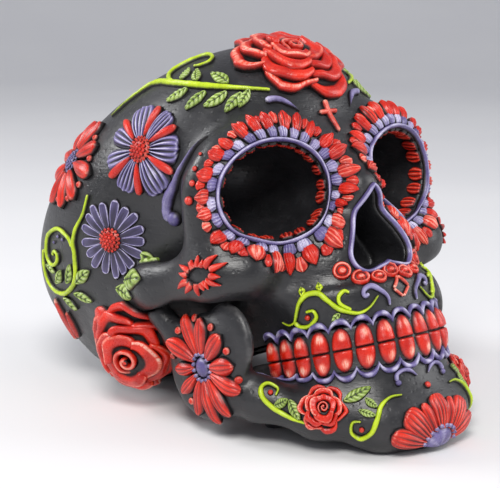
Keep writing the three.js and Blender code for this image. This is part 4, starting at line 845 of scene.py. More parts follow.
def add_rose_bud(relief, chart, radius, height, twist, seed):
    """The coiled ridge and the knob in the middle of a rose."""
    count = 64
    turns = np.linspace(0, 1.6 * FULL_TURN, count)
    reach = radius * (0.1 + 0.95 * turns / turns[-1])
    x, y = reach * np.cos(turns + twist), reach * np.sin(turns + twist)
    t = round_shares(9)
    step = np.arange(count)
    end = unit(np.minimum(step / 3, (count - 1 - step) / 7))[:, None] ** 0.5
    coil = (height * (1.02 - 0.1 * turns / turns[-1]))[:, None] * np.ones_like(t)
    h = (coil - 0.2 * height * (1 - np.sqrt(1 - t**2))) * end - SINK * (1 - end)
    h[:, [0, -1]] = 0.3 * height
    dx, dy = np.gradient(x), np.gradient(y)
    size = np.hypot(dx, dy)
    half = radius * 0.17
    px = x[:, None] - (dy / size)[:, None] * half * t
    py = y[:, None] + (dx / size)[:, None] * half * t
    base, normal = chart.flat(px, py)
    crest = np.where(np.abs(t) < 0.6, 0.5, -0.2) * np.ones_like(h)
    relief.sheet(base, normal, h, unit(h / h.max()), uv_seed=seed, crest=crest)
    add_dot(relief, chart, 0, 0, radius * 0.2, 0.3, lift=height * 0.95, rings=5, sides=14)


# Paint

# Black of the wash, and of the painted shade in the recesses
WASH_AND_SHADE_BLACK = (20, 15, 17)
GLOSS_LOW, GLOSS_HIGH = 0.24, 0.36


def linear(red, green, blue):
    """Linear values of an sRGB colour in 0..255."""

    def one(value):
        value /= 255
        return value / 12.92 if value <= 0.04045 else ((value + 0.055) / 1.055) ** 2.4

    return one(red), one(green), one(blue)


class Paint:
    """One material, the name of a slot that it keeps but nothing uses, and short ways to chain its shader
    nodes.
    """

    def __init__(self, name, slot=None):
        self.material = bpy.data.materials.new(name)
        self.material.use_nodes = True
        self.slot = slot
        self.tree = self.material.node_tree
        self.nodes = self.tree.nodes
        self.shader = self.nodes["Principled BSDF"]

    def link(self, source, target):
        self.tree.links.new(source, target)

    def node(self, kind, **values):
        made = self.nodes.new(kind)
        for key, value in values.items():
            setattr(made, key, value)
        return made

    def attribute(self, name):
        return self.node("ShaderNodeAttribute", attribute_name=name).outputs["Fac"]

    def coordinates(self, kind="Object", scale=(1, 1, 1)):
        source = self.node("ShaderNodeTexCoord").outputs[kind]
        mapping = self.node("ShaderNodeMapping")
        mapping.inputs["Scale"].default_value = scale
        self.link(source, mapping.inputs["Vector"])
        return mapping.outputs["Vector"]

    def noise(self, scale, detail=4, roughness=0.55, vector=None):
        made = self.node("ShaderNodeTexNoise")
        made.inputs["Scale"].default_value = scale
        made.inputs["Detail"].default_value = detail
        made.inputs["Roughness"].default_value = roughness
        self.link(vector if vector is not None else self.coordinates(), made.inputs["Vector"])
        return made.outputs["Fac"]

    def ramp(self, value, low, high, start=0.0, end=1.0):
        """Maps low..high smoothly to start..end."""
        made = self.node("ShaderNodeMapRange", interpolation_type="SMOOTHSTEP")
        for key, number in (("From Min", low), ("From Max", high), ("To Min", start), ("To Max", end)):
            made.inputs[key].default_value = number
        self.link(value, made.inputs["Value"])
        return made.outputs["Result"]

    def math(self, operation, first, second):
        made = self.node("ShaderNodeMath", operation=operation)
        for socket, value in zip(made.inputs, (first, second)):
            if isinstance(value, (int, float)):
                socket.default_value = value
            else:
                self.link(value, socket)
        return made.outputs["Value"]

    def mix(self, share, first, second):
        """Mixes two colours; each is a socket or a linear RGB triple."""
        made = self.node("ShaderNodeMix", data_type="RGBA")
        for name, value in (("A", first), ("B", second)):
            socket = next(s for s in made.inputs if s.name == name and s.type == "RGBA")
            if isinstance(value, tuple):
                socket.default_value = (*value, 1)
            else:
                self.link(value, socket)
        self.link(share, made.inputs["Factor"])
        return next(s for s in made.outputs if s.type == "RGBA")

    def bump(self, heights):
        """Chains bumps from (height socket, strength, distance in metres)."""
        last = None
        for height, strength, distance in heights:
            made = self.node("ShaderNodeBump")
            made.inputs["Strength"].default_value = strength
            made.inputs["Distance"].default_value = distance
            self.link(height, made.inputs["Height"])
            if last is not None:
                self.link(last, made.inputs["Normal"])
            last = made.outputs["Normal"]
        self.link(last, self.shader.inputs["Normal"])


def ornament_paint(name, slot, colours, brush_amount=1.0):
    """Enamel over relief: a black wash with painted shade in the recesses, and a painted highlight and a pale
    dry-brush on the crests.

    colours holds the sRGB colours of the deep coat, the main one, the painted highlight on the crests and the
    dry-brush.
    """
    p = Paint(name, slot)
    deep, main, light, brush = (linear(*colour) for colour in colours)
    rise, bend = p.attribute("rise"), p.attribute("bend")
    broad = p.noise(140, 3)
    fine = p.noise(1500, 5, 0.65)
    streaks = p.noise(1.0, 4, 0.6, p.coordinates("UV", (2.2, 26, 1)))
    colour = p.mix(p.ramp(broad, 0.35, 0.68), deep, main)
    # Painted highlight: the crests turn towards the pale crest colour
    colour = p.mix(p.ramp(bend, 0.1, 0.8, 0.0, 0.8), colour, light)
    # Dry brush: only where the brush touches, broken up by its streaks
    touched = p.ramp(bend, 0.12, 0.8)
    broken = p.ramp(p.math("ADD", streaks, p.math("MULTIPLY", fine, 0.4)), 0.54, 0.8)
    patchy = p.ramp(broad, 0.36, 0.62, 0.3, 1.0)
    dry = p.math("MULTIPLY", p.math("MULTIPLY", touched, broken), patchy)
    dry = p.math("MULTIPLY", dry, 0.92 * brush_amount)
    colour = p.mix(dry, colour, brush)
    # Black wash and painted shade: the black undercoat on the low places and sides, and painted shade there
    # and in the hollows of the relief
    low = p.ramp(p.math("ADD", rise, p.math("MULTIPLY", fine, 0.4)), 0.96, 0.46)
    hollow = p.ramp(p.math("ADD", bend, p.math("MULTIPLY", streaks, 0.6)), 0.26, -0.3)
    wash_and_shade = p.math("MAXIMUM", low, p.math("MULTIPLY", hollow, 0.92))
    colour = p.mix(wash_and_shade, colour, linear(*WASH_AND_SHADE_BLACK))
    p.link(colour, p.shader.inputs["Base Color"])
    rough = p.ramp(fine, 0.3, 0.7, GLOSS_LOW, GLOSS_HIGH)
    rough = p.math("ADD", rough, p.math("MULTIPLY", dry, 0.2))
    p.link(p.math("ADD", rough, p.math("MULTIPLY", wash_and_shade, 0.2)), p.shader.inputs["Roughness"])
    p.shader.inputs["Specular IOR Level"].default_value = 0.55
    p.bump([(fine, 0.2, 0.00015), (streaks, 0.4, 0.00025), (broad, 0.2, 0.0004)])
    return p


def bone_paint(name, slot):
    """Satin charcoal over cast resin: pits, brush streaks, a little grey on the edges that is dry-brush and
    painted highlight, and painted shade in the hollows.
    """
    p = Paint(name, slot)
    bend = p.attribute("bend")
    broad = p.noise(38, 4)
    middle = p.noise(260, 5, 0.6)
    fine = p.noise(2200, 4, 0.6)
    streaks = p.noise(90, 5, 0.7, p.coordinates("Object", (1.2, 0.5, 6.5)))
    pits = p.node("ShaderNodeTexVoronoi", feature="F1")
    pits.inputs["Scale"].default_value = 420
    p.link(p.coordinates(), pits.inputs["Vector"])
    pit = p.ramp(pits.outputs["Distance"], 0.1, 0.34)
    colour = p.mix(p.ramp(broad, 0.3, 0.7), linear(26, 26, 28), linear(38, 38, 41))
    colour = p.mix(p.ramp(middle, 0.45, 0.8, 0, 0.4), colour, linear(50, 50, 53))
    # A little grey on the convex edges: dry-brush, and a painted highlight
    edge = p.math("MULTIPLY", p.ramp(bend, 0.45, 1.0), p.ramp(p.math("ADD", broad, middle), 0.9, 1.3))
    colour = p.mix(p.math("MULTIPLY", edge, 0.4), colour, linear(112, 110, 110))
    # Painted shade: the bone darkens in its hollows
    colour = p.mix(p.ramp(bend, -0.25, -0.85, 0, 0.8), colour, linear(18, 18, 20))
    p.link(colour, p.shader.inputs["Base Color"])
    p.link(p.ramp(p.math("ADD", middle, broad), 0.7, 1.3, 0.3, 0.46), p.shader.inputs["Roughness"])
    p.shader.inputs["Specular IOR Level"].default_value = 0.6
    p.bump([(fine, 0.2, 0.00015), (pit, 0.3, 0.00025), (streaks, 0.5, 0.0004), (broad, 0.35, 0.0012)])
    return p


# Each holds the deep coat, the main colour, the painted highlight on the crests and the dry-brush
REDS = ((184, 24, 10), (220, 42, 18), (232, 74, 42), (250, 204, 184))
LAVENDERS = ((86, 77, 128), (116, 106, 158), (150, 141, 186), (222, 219, 238))
LIMES = ((160, 186, 4), (192, 218, 8), (208, 230, 34), (236, 246, 140))
LEAF_GREENS = ((104, 130, 36), (136, 164, 54), (166, 190, 84), (218, 230, 176))

BLACK = bone_paint("charcoal_resin", "bone_black")
RED = ornament_paint("red_enamel", "paint_red", REDS)
LAVENDER = ornament_paint("lavender_enamel", "paint_lavender", LAVENDERS)
LIME = ornament_paint("lime_enamel", "paint_lime", LIMES, brush_amount=0.35)
LEAF = ornament_paint("leaf_enamel", "paint_lime", LEAF_GREENS)


# The bone


def add_bone():
    bone_object("cranium", cranium_cut, (-66, -102, -62), (66, 96, 60))
    bone_object("mandible", jaw_cut, (-58, 4, -116), (58, 94, -34))


# Teeth and gums

TEETH = 16
TOOTH_HEIGHT = 8.6
TOOTH_DEPTH = 3.0
TOOTH_CELLS = 21
BITE_GAP = 0.2
# How far outside the arch the search for the bone starts, and how the teeth fan out with height
CHEEK_ROOM = 8.0
TOOTH_FAN = 0.0009
PIPING_WIDTH = 1.15
PIPING_HEIGHT = 1.7
PIPING_CUSP = 3.0
BED_REACH = 8.0
BED_HEIGHT = 1.3
BED_INSET = 0.6
BED_END = 0.004


def arch_place(share):
    """Place and outward direction on the dental arch, walked from the right to the left."""
    w, bend, depth = ARCH["half_width"], ARCH["bend"], ARCH["front"] - ARCH["bend"]
    turn = np.linspace(math.pi, 0, 241)
    leg = np.linspace(ARCH["last"], bend, 60, endpoint=False)
    x = np.concatenate([np.full(len(leg), -w), w * np.cos(turn), np.full(len(leg), w)])
    f = np.concatenate([leg, bend + depth * np.sin(turn), leg[::-1]])
    reach = np.concatenate([[0], np.cumsum(np.hypot(np.diff(x), np.diff(f)))])
    wanted = unit(share) * reach[-1]
    dx, df = np.gradient(x), np.gradient(f)
    here = np.stack([np.interp(wanted, reach, x), np.interp(wanted, reach, f)], -1)
    out = np.stack([-np.interp(wanted, reach, df), np.interp(wanted, reach, dx)], -1)
    return here, out / np.linalg.norm(out, axis=-1, keepdims=True)


def over_bite(here, level):
    """Places at a level over the bite, above or below places in plan."""
    up = BITE_UP + (BITE_FRONT - here[..., 1]) * BITE_SLOPE + level
    return np.concatenate([here, up[..., None]], -1)


def arch_seat(form, share, level, drop=0.0):
    """The bone beside the arch at shares of the way round and levels over the bite.

    drop lets the search come in from above, so that a shelf beside the arch is met on its top.
    """
    fan = np.tanh((share - 0.5) * 8) * TOOTH_FAN * level
    here, out = arch_place(share - fan)
    # Near the bite the bone's edge is rounded, so the seat there is carried on from the wall
    wall = np.sign(level) * np.maximum(np.abs(level), TOOTH_HEIGHT * 0.35)
    place = over_bite(here, wall)
    heading = np.concatenate([out, np.full(out.shape[:-1] + (1,), 1.0) * drop], -1)
    start = place + heading * CHEEK_ROOM
    heading = heading / np.linalg.norm(heading, axis=-1, keepdims=True)
    points = march(form, start, -heading, 80)
    swallowed = form(start) < 0
    points[swallowed] = place[swallowed]
    points[..., 2] += level - wall
    return points, heading


def add_tooth(relief, form, side, number):
    """Half of an oval: square where the two rows bite, rounded towards the gum."""
    height_shares = np.sin(np.linspace(0, math.pi / 2, TOOTH_CELLS))
    rr, tt = np.meshgrid(height_shares, round_shares(TOOTH_CELLS), indexing="ij")
    from_middle = abs(number + 0.5 - TEETH / 2)
    size = 1 - 0.014 * from_middle + 0.02 * math.sin(number * 2.7)
    width = 0.482 * (0.98 + 0.02 * math.sin(number * 1.9 + side)) * unit(1 - rr**2.7) ** 0.5
    share = (number + 0.5 + np.maximum(width, 0.02) * tt) / TEETH
    level = side * (BITE_GAP / 2 + (TOOTH_HEIGHT * size - BITE_GAP) * rr)
    base, out = arch_seat(form, share, level)
    pillow = unit(1 - np.abs(tt) ** 2.2) ** 0.5 * unit(1 - rr**2.6) ** 0.5
    bite = unit(rr / 0.06) ** 0.5
    chips = 0.07 * np.cos(4.4 * np.pi * tt + number) * (1 - rr)
    chips = chips + 0.05 * np.sin(5 * np.pi * rr + number * 2)
    h = seated(TOOTH_DEPTH + chips, pillow * (0.72 + 0.28 * bite))
    # The paint darkens each tooth towards its sides and edges as painted shade, and a pale spot on its upper
    # middle, a little to one side, is a painted highlight
    rise = unit(1.12 * pillow**1.3 * (0.4 + 0.6 * bite))
    crest = 0.85 * bump_at(rr, 0.6, 0.22) * bump_at(tt, 0.2, 0.4) - 0.7 * (1 - bite)
    relief.sheet(base, out, h, rise, uv_seed=number * 0.29 + side, crest=crest)


def add_tooth_bed():
    """The black bed behind the teeth, which also closes the line where the two rows meet."""
    share = np.linspace(BED_END, 1 - BED_END, 160)
    level = np.linspace(-BED_REACH, BED_REACH, 21)
    ss, ll = np.meshgrid(share, level, indexing="ij")
    here, out = arch_place(ss)
    base = over_bite(here, ll)
    base[..., :2] -= BED_INSET * out
    heading = np.concatenate([out, np.zeros(out.shape[:-1] + (1,))], -1)
    ends = np.minimum(ss - BED_END, 1 - BED_END - ss) * 60
    h = seated(BED_HEIGHT, unit(np.minimum(ends, (BED_REACH - np.abs(ll)) / 0.8)) ** 0.5)
    bed = Relief()
    bed.sheet(base, heading, h, np.zeros(h.shape), crest=np.full(h.shape, -0.2))
    bed.build("tooth_bed", BLACK, own=False, both=False)


def add_gum(form, side, name):
    """A scalloped line of piping with an arch over each tooth and a cusp between two."""
    relief = Relief()
    share = np.linspace(0, 1, TEETH * 16 + 1)
    phase = np.abs(np.sin(np.pi * share * TEETH))
    cusp = PIPING_CUSP * (1 - phase**0.8) ** 1.3
    line = TOOTH_HEIGHT + BITE_GAP / 2 + PIPING_WIDTH - cusp
    t = round_shares(11)
    to_end = np.minimum(share, 1 - share) * 60
    half = (PIPING_WIDTH + 0.12 * np.sin(share * 91)) * np.minimum(1, to_end + 0.2)
    level = side * (line[:, None] + half[:, None] * t)
    # Behind, the lower line lies on the shelf of the jaw, which is met from above
    rear = unit((np.abs(share - 0.5) - 0.22) / 0.12)
    drop = (0.9 * rear if side < 0 else 0 * rear)[:, None, None]
    base, out = arch_seat(form, np.repeat(share[:, None], len(t), 1), level, drop)
    round_top = np.sqrt(1 - t**2)[None]
    h = seated(PIPING_HEIGHT * (1 + 0.12 * phase[:, None]), round_top * unit(to_end)[:, None] ** 0.5)
    crest = 0.8 * round_top**2 * (0.55 + 0.45 * np.sin(share * 170))[:, None]
    relief.sheet(base, out, h, unit(1.3 * h / PIPING_HEIGHT), uv_seed=side, crest=crest)
    relief.build(name, LAVENDER, both=False)


def add_teeth():
    for label, form, side in (("upper", cranium_form, 1), ("lower", jaw_form, -1)):
        relief = Relief()
        for number in range(TEETH):
            add_tooth(relief, form, side, number)
        relief.build(f"{label}_teeth", RED, both=False)
        add_gum(form, side, f"{label}_gum_piping")
    add_tooth_bed()


# The eye sockets

RIM_WIDTH = 2.3
RIM_HEIGHT = 2.0
SCALLOP_WIDTH = 3.4
PETAL_WIDTH = 6.6
BAND_GAP = 0.45
BANDS_WIDTH = RIM_WIDTH + SCALLOP_WIDTH + PETAL_WIDTH
SCALLOPS = 26
RING_PETALS = 24
LINING_PETALS = 22
# Towards the temple the ring's petals are shorter: the direction, and by how much
RING_TIGHT = math.pi
RING_SQUEEZE = 0.36


def face_seat():
    x, f, u = SOCKET["centre"]
    return np.array([-x, f + 100, u], float), np.array([0.0, -1.0, 0.0])


SOCKET_CHART = Chart(cranium_form, face_seat(), 46, 180)


def socket_edge(angle):
    """Distance from the middle of the socket to its cut edge."""
    inside, outside = np.full(angle.shape, 8.0), np.full(angle.shape, 41.0)
    for _ in range(14):
        middle = (inside + outside) / 2
        within = socket_distance(SOCKET_CHART.polar(angle, middle)[0]) < 0
        inside, outside = np.where(within, middle, inside), np.where(within, outside, middle)
    return outside


def socket_room(angle, edge, wanted):
    """How far a band may reach before it meets the middle of the face or the nose rim."""
    reach = np.full(angle.shape, wanted)
    for _ in range(40):
        spot, _ = SOCKET_CHART.polar(angle, edge + reach)
        blocked = (spot[..., 0] > -0.6) | (nose_distance(spot) < 2.9)
        reach = np.where(blocked & (reach > 1), reach - wanted / 40, reach)
    return reach


EDGE_TURNS = np.linspace(0, FULL_TURN, 361)
EDGE_TABLE = socket_edge(EDGE_TURNS)
ROOM_TABLE = socket_room(EDGE_TURNS, EDGE_TABLE, BANDS_WIDTH + 3 * BAND_GAP)


def socket_place(angle, gaps, out):
    """Places at a distance out from the socket's edge, squeezed where the face leaves no room."""
    turn = np.mod(angle, FULL_TURN)
    edge = np.interp(turn, EDGE_TURNS, EDGE_TABLE)
    room = np.interp(turn, EDGE_TURNS, ROOM_TABLE) - 3 * BAND_GAP
    squeeze = np.maximum(room / BANDS_WIDTH, 0.12)
    temple = 1 - RING_SQUEEZE * bump_at(np.cos(turn - RING_TIGHT), 1.0, 0.55)
    out = np.minimum(out, RIM_WIDTH) + np.maximum(out - RIM_WIDTH, 0) * temple
    return SOCKET_CHART.polar(turn, edge + gaps * BAND_GAP + out * squeeze)


def add_socket_rim():
    """The smooth round ring on the socket's edge."""
    relief = Relief()
    turns = np.linspace(0, FULL_TURN, 200, endpoint=False)
    angle, tt = np.meshgrid(turns, round_shares(13), indexing="ij")
    wobble = 1 + 0.07 * np.sin(angle * 9 + 1) + 0.05 * np.sin(angle * 17)
    base, normal = socket_place(angle, 0.6, RIM_WIDTH / 2 * (0.9 + tt * 0.72 * wobble))
    h = seated(RIM_HEIGHT, np.sqrt(1 - tt**2))
    # Pale along the top of the rim, a little to one side: dry-brush and painted highlight
    crest = bump_at(tt, 0.1, 0.55) * (0.75 + 0.25 * np.sin(angle * 13) * np.sin(angle * 5 + 2))
    relief.sheet(base, normal, h, unit(1.3 * h / RIM_HEIGHT), closed=True, crest=crest)
    relief.build("socket_rim", LAVENDER)


def add_ring_petal(
    relief, angle, spread, start, stop, height, ribs, seed, gaps,
    belly=0.55, root=0.5, point=0.3, carve=0.25, pale=0.7,
):
    """A petal of a band round the socket; spread is half its angle at the widest."""
    s, t = grid(24, max(13, 6 * ribs + 1))
    shape = np.maximum(petal_outline(s, belly, root, point), 0.015)
    reach = start + (stop - start) * (s - 0.07 * t**2 * s**2)
    base, normal = socket_place(angle + spread * t * shape, gaps, reach)
    waver = 0.35 * np.sin(3 * s + seed * 5)
    groove = 0.5 - 0.5 * np.cos(ribs * np.pi * t + waver)
    cut = carve * groove * (1 - 0.35 * s)
    body = height * (0.66 + 0.34 * np.sin(np.pi * s)) * (1 - 0.2 * t**2) * (1 - cut)
    fall = plump(s, t, 2.4, 0.06, 0.07, 0.03)
    drawn = groove * (0.68 + 0.32 * np.sin(3 * t + seed * 9))
    crest = (pale - drawn) * fall * (0.6 + 0.4 * math.sin(seed * 11 + 2))
    relief.sheet(base, normal, seated(body, fall), unit(1.15 * fall**2.2), uv_seed=seed, crest=crest)


def add_socket_scallops():
    scallops = Relief()
    for k in range(SCALLOPS):
        angle = FULL_TURN * (k + 0.5 + 0.08 * math.sin(k * 3.1)) / SCALLOPS
        stop = RIM_WIDTH + SCALLOP_WIDTH * (1.1 + 0.05 * math.sin(k * 2.2))
        add_ring_petal(
            scallops, angle, FULL_TURN / SCALLOPS * 0.53, RIM_WIDTH * 0.7, stop, 2.1, 5, k * 0.31, 1.2,
            belly=0.62, root=0.8, point=0.0, carve=0.26, pale=1.2,
        )
    scallops.build("socket_scallops", LAVENDER)


def add_socket_petals():
    """Broad pointed petals that overlap the scallops, with a small one behind each gap."""
    petals = Relief()
    start = RIM_WIDTH + SCALLOP_WIDTH
    for k in range(RING_PETALS):
        angle = FULL_TURN * (k + 0.12 * math.sin(k * 2.3)) / RING_PETALS
        small = FULL_TURN * (k + 0.5 + 0.1 * math.sin(k * 3.7)) / RING_PETALS
        edge = start + PETAL_WIDTH * (0.9 + 0.09 * math.sin(k * 2.9))
        add_ring_petal(petals, small, 0.085, start + 1.0, edge, 1.8, 3, k * 0.7, 1.8, belly=0.66, point=0.5)
        reach = PETAL_WIDTH * (1 + 0.08 * math.sin(k * 1.9))
        wide = FULL_TURN / RING_PETALS * (0.47 + 0.04 * math.sin(k * 1.3))
        # Painted light: these broad petals are paler towards the bottom of the ring and darker towards its
        # top
        add_ring_petal(
            petals, angle, wide, start - 1.3, start + reach, 3.0, 5, k * 0.43, 1.6,
            belly=0.4, root=0.8, point=0.75 + 0.2 * math.sin(k * 1.1), carve=0.18,
            pale=0.5 - 0.22 * math.sin(angle),
        )
    petals.build("socket_petals", RED)


class WallChart(Chart):
    """A map of the socket's wall: an angle round the opening and a depth in from its edge."""

    def __init__(self, angles=180, reach=14):
        self.angles = angles
        turns = np.linspace(0, FULL_TURN, angles, endpoint=False)
        edge = np.interp(turns, EDGE_TURNS, EDGE_TABLE)
        here, face = SOCKET_CHART.polar(turns, edge)

        def hollow(points):
            return -socket_distance(points)

        here, out = settle(hollow, here, 3)
        heading = -face - out * (-face * out).sum(-1, keepdims=True)
        heading /= np.linalg.norm(heading, axis=-1, keepdims=True)
        self.walk(hollow, here, out, heading, reach)


def add_socket_lining():
    """Short petals inside the rim that point into the socket."""
    wall, relief = WallChart(), Relief()
    for k in range(LINING_PETALS):
        angle = FULL_TURN * (k + 0.5 + 0.1 * math.sin(k * 2.9)) / LINING_PETALS
        s, t = grid(18, 19)
        shape = np.maximum(petal_outline(s, 0.5, 0.7, 0.1), 0.02)
        turn = angle + FULL_TURN / LINING_PETALS * 0.47 * t * shape
        base, normal = wall.polar(turn, 0.3 + 6.6 * (s - 0.1 * t**2 * s))
        groove = 0.5 - 0.5 * np.cos(3 * np.pi * t)
        fall = plump(s, t, 3.2, 0.06, 0.09, 0.02)
        h = seated(1.7 * (1 - 0.28 * groove) * (0.75 + 0.25 * np.sin(np.pi * s)), fall)
        relief.sheet(base, normal, h, unit(h / 1.6), uv_seed=k * 0.37, crest=(0.45 - 1.05 * groove) * fall)
    relief.build("socket_lining_petals", RED, own=False)


# Flowers, each seated by a spot in the bone's frame

# Directions of the stripes of the striped daisy, in degrees, 0 to the viewer's right
STRIPE_TURNS = (14, 58, 120, 200, 247, 315)
WIDE_LOBE = 1.2

# Petals of the flower on the jaw's branch: direction in degrees, length, width; and its buds
RAMUS_PETALS = (
    (-8, 17.0, 6.2), (32, 17.6, 6.6), (72, 18.0, 6.2), (104, 20.5, 7.0), (137, 19.8, 5.8), (172, 15.5, 4.8),
    (203, 17.5, 4.6), (238, 19.0, 5.4), (268, 21.0, 5.2), (292, 20.5, 5.0), (322, 19.6, 6.2),
)
RAMUS_BUDS = ((12, 15.5), (52, 16.0), (88, 17.5), (121, 17.5), (-26, 17.0), (155, 16.5), (220, 16.0))
RAMUS_BEADS = 14

# Petals of the fan on the chin: direction, length, width, ribs; all but the upright one are paired
CHIN_PETALS = ((90, 18.2, 9.6, 6), (63, 17.0, 4.8, 2), (38, 19.4, 10.2, 6), (9, 20.6, 8.6, 5))
CHIN_HUB = 7.0
CHIN_HUB_HEIGHT = 2.2
CHIN_BEADS = 10

LAVENDER_PETALS = 17
SIDE_PETALS = 10
SUNBURST_RAYS = 16


def add_striped_daisy():
    """Broad ribbed lobes with a narrow stripe between each two."""
    chart = chart_at(cranium_form, HEAD, (-51.9, 29.5, 16.6), 24)
    lobes, stripes = Relief(), Relief()
    turns = [math.radians(a) for a in STRIPE_TURNS]
    for k, (here, after) in enumerate(zip(turns, turns[1:] + [turns[0] + FULL_TURN])):
        room = after - here
        reach = 17.4 * (1 + 0.03 * math.sin(k * 2.1))
        parts = 2 if room > WIDE_LOBE else 1
        for part in range(parts):
            angle = here + room * (part + 0.5) / parts
            width = 2 * 12.6 * math.tan((room - 0.12) / parts / 2)
            ribs = 6 if parts == 1 else 4
            add_petal(
                lobes, chart, angle, 3.8, reach, width, 2.2, ribs=ribs, seed=k * 0.7 + part,
                point=0.0, belly=0.74, root=0.3, carve=0.75, fade=0.7, lobed=0.02, drawn=1.1,
            )
        stripe = 17.2 + 0.6 * math.sin(k * 3)
        add_petal(
            stripes, chart, here, 4.6, stripe, 3.7, 2.9, seed=k * 1.3, point=0.15, belly=0.72, root=0.2,
        )
    lobes.build("striped_daisy", LAVENDER)
    stripes.build("striped_daisy_stripes", RED, own=False)
    add_seed_head("striped_daisy_centre", RED, chart, 4.9, 4.5, 2.8, 0.74, 0.8)


def add_lavender_daisy():
    """Narrow petals with a raised pale outline round a dark middle."""
    chart = chart_at(cranium_form, HEAD, (-58, 6.5, -10.2), 22)
    petals = Relief()
    for k in range(LAVENDER_PETALS):
        angle = FULL_TURN * (k + 0.1 * math.sin(k * 1.7)) / LAVENDER_PETALS
        reach = 14.9 * (1 + 0.04 * math.sin(k * 2.7))
        add_petal(
            petals, chart, angle, 3.9, reach, 4.2, 2.0, seed=k * 0.9,
            point=0.1, belly=0.72, root=0.34, rim=0.34,
        )
    petals.build("lavender_daisy", LAVENDER)
    add_seed_head("lavender_daisy_centre", RED, chart, 4.5, 4.2, 2.8, 0.74, 0.8)


def add_side_flower():
    """Ten plump red petals at the rear of the side, with a bud between each two."""
    chart = chart_at(cranium_form, HEAD, (-53, -13, 24), 27)
    petals, buds = Relief(), Relief()
    for k in range(SIDE_PETALS):
        angle = FULL_TURN * (k + 0.2 + 0.06 * math.sin(k * 2.2)) / SIDE_PETALS
        reach = 19.2 * (1 + 0.05 * math.sin(k * 2.3))
        add_petal(
            petals, chart, angle, 4.8, reach, 7.2, 3.2, ribs=2, seed=k * 0.7, point=0.3,
            belly=0.66, root=0.28, carve=0.14, fade=0.2, drawn=0.4, tip=0.6,
        )
        add_dot_at(buds, chart, angle + math.pi / SIDE_PETALS, 15.4, 1.5, 1.9, rings=7, sides=20)
    petals.build("side_flower", RED)
    buds.build("side_flower_buds", RED, own=False)
    add_seed_head("side_flower_centre", LAVENDER, chart, 4.9, 4.5, 2.6, 0.66, 0.7)


def add_ramus_flower():
    """The red flower on the jaw's branch, with a beaded lavender middle."""
    chart = chart_at(jaw_form, (-30, 31, -64), (-60, 35.5, -64), 27)
    petals, buds = Relief(), Relief()
    for k, (turn, reach, width) in enumerate(RAMUS_PETALS):
        add_petal(
            petals, chart, math.radians(turn), 4.6, reach, width * 1.22, 2.8, ribs=4, seed=k * 0.7, point=0.5,
            belly=0.6, root=0.36, carve=0.12, fade=0.15, drawn=0.42, tip=0.7,
        )
    for turn, reach in RAMUS_BUDS:
        add_dot_at(buds, chart, math.radians(turn), reach, 1.6, 1.6, rings=7, sides=20)
    petals.build("ramus_flower", RED)
    buds.build("ramus_flower_buds", RED, own=False)
    centre = Relief()
    add_dot(centre, chart, 0, 0, 4.2, 3.0, rings=9, sides=36)
    for k in range(RAMUS_BEADS):
        add_dot_at(centre, chart, FULL_TURN * k / RAMUS_BEADS, 5.0, 0.95, 2.7)
    centre.build("ramus_flower_centre", LAVENDER)


def add_chin_flower():
    """A fan of broad petals over a half disc with a beaded edge."""
    chart = chart_at(jaw_form, JAW, (0, 83.5, -107.5), 26)
    petals = Relief()
    for k, (turn, reach, width, ribs) in enumerate(CHIN_PETALS):
        for side in (1, -1) if turn != 90 else (1,):
            add_petal(
                petals, chart, math.radians(90 + side * (90 - turn)), 5.6, reach, width, 2.4, ribs=ribs,
                seed=k * 0.7 + side, point=0.0, belly=0.7, root=0.36, carve=0.26, fade=0.6,
            )
    petals.build("chin_flower", RED, both=False)
    centre = Relief()
    turns = np.linspace(math.radians(-8), math.radians(188), 44)
    angle, reach = np.meshgrid(turns, np.linspace(0.05, CHIN_HUB, 9), indexing="ij")
    base, normal = chart.polar(angle, reach)
    step = np.arange(len(turns))
    end = unit(np.minimum(step, step[::-1]) / 2)[:, None]
    h = seated(CHIN_HUB_HEIGHT, unit(1 - (reach / CHIN_HUB) ** 4) ** 0.5 * end)
    centre.sheet(base, normal, h, unit(h / CHIN_HUB_HEIGHT), crest=0.4 * np.sin(3 * angle) ** 2)
    for k in range(CHIN_BEADS):
        add_dot_at(centre, chart, math.pi * (k + 0.5) / CHIN_BEADS, CHIN_HUB, 0.95, 2.7)
    centre.build("chin_flower_centre", LAVENDER, both=False)


def add_sunburst():
    """A flat oval ring of flames of uneven length round a plain middle."""
    chart = chart_at(cranium_form, HEAD, (-57, 51, -33), 18)
    rays = Relief()
    for k in range(SUNBURST_RAYS):
        angle = FULL_TURN * (k + 0.3 + 0.16 * math.sin(k * 3.3)) / SUNBURST_RAYS
        oval = 1 / math.hypot(math.cos(angle) / 1.3, math.sin(angle) / 0.62)
        reach = 9.6 * oval * (1 + 0.16 * math.sin(k * 2.4))
        add_petal(
            rays, chart, angle, 4.0 * oval, reach, 3.0 + 0.5 * math.sin(k * 1.7), 2.0, ribs=1, seed=k * 0.7,
            point=1.0, belly=0.22, root=0.9, carve=0.1, sway=0.8 * math.sin(k * 2.1),
        )
    rays.build("cheek_sunburst", RED)


# Roses

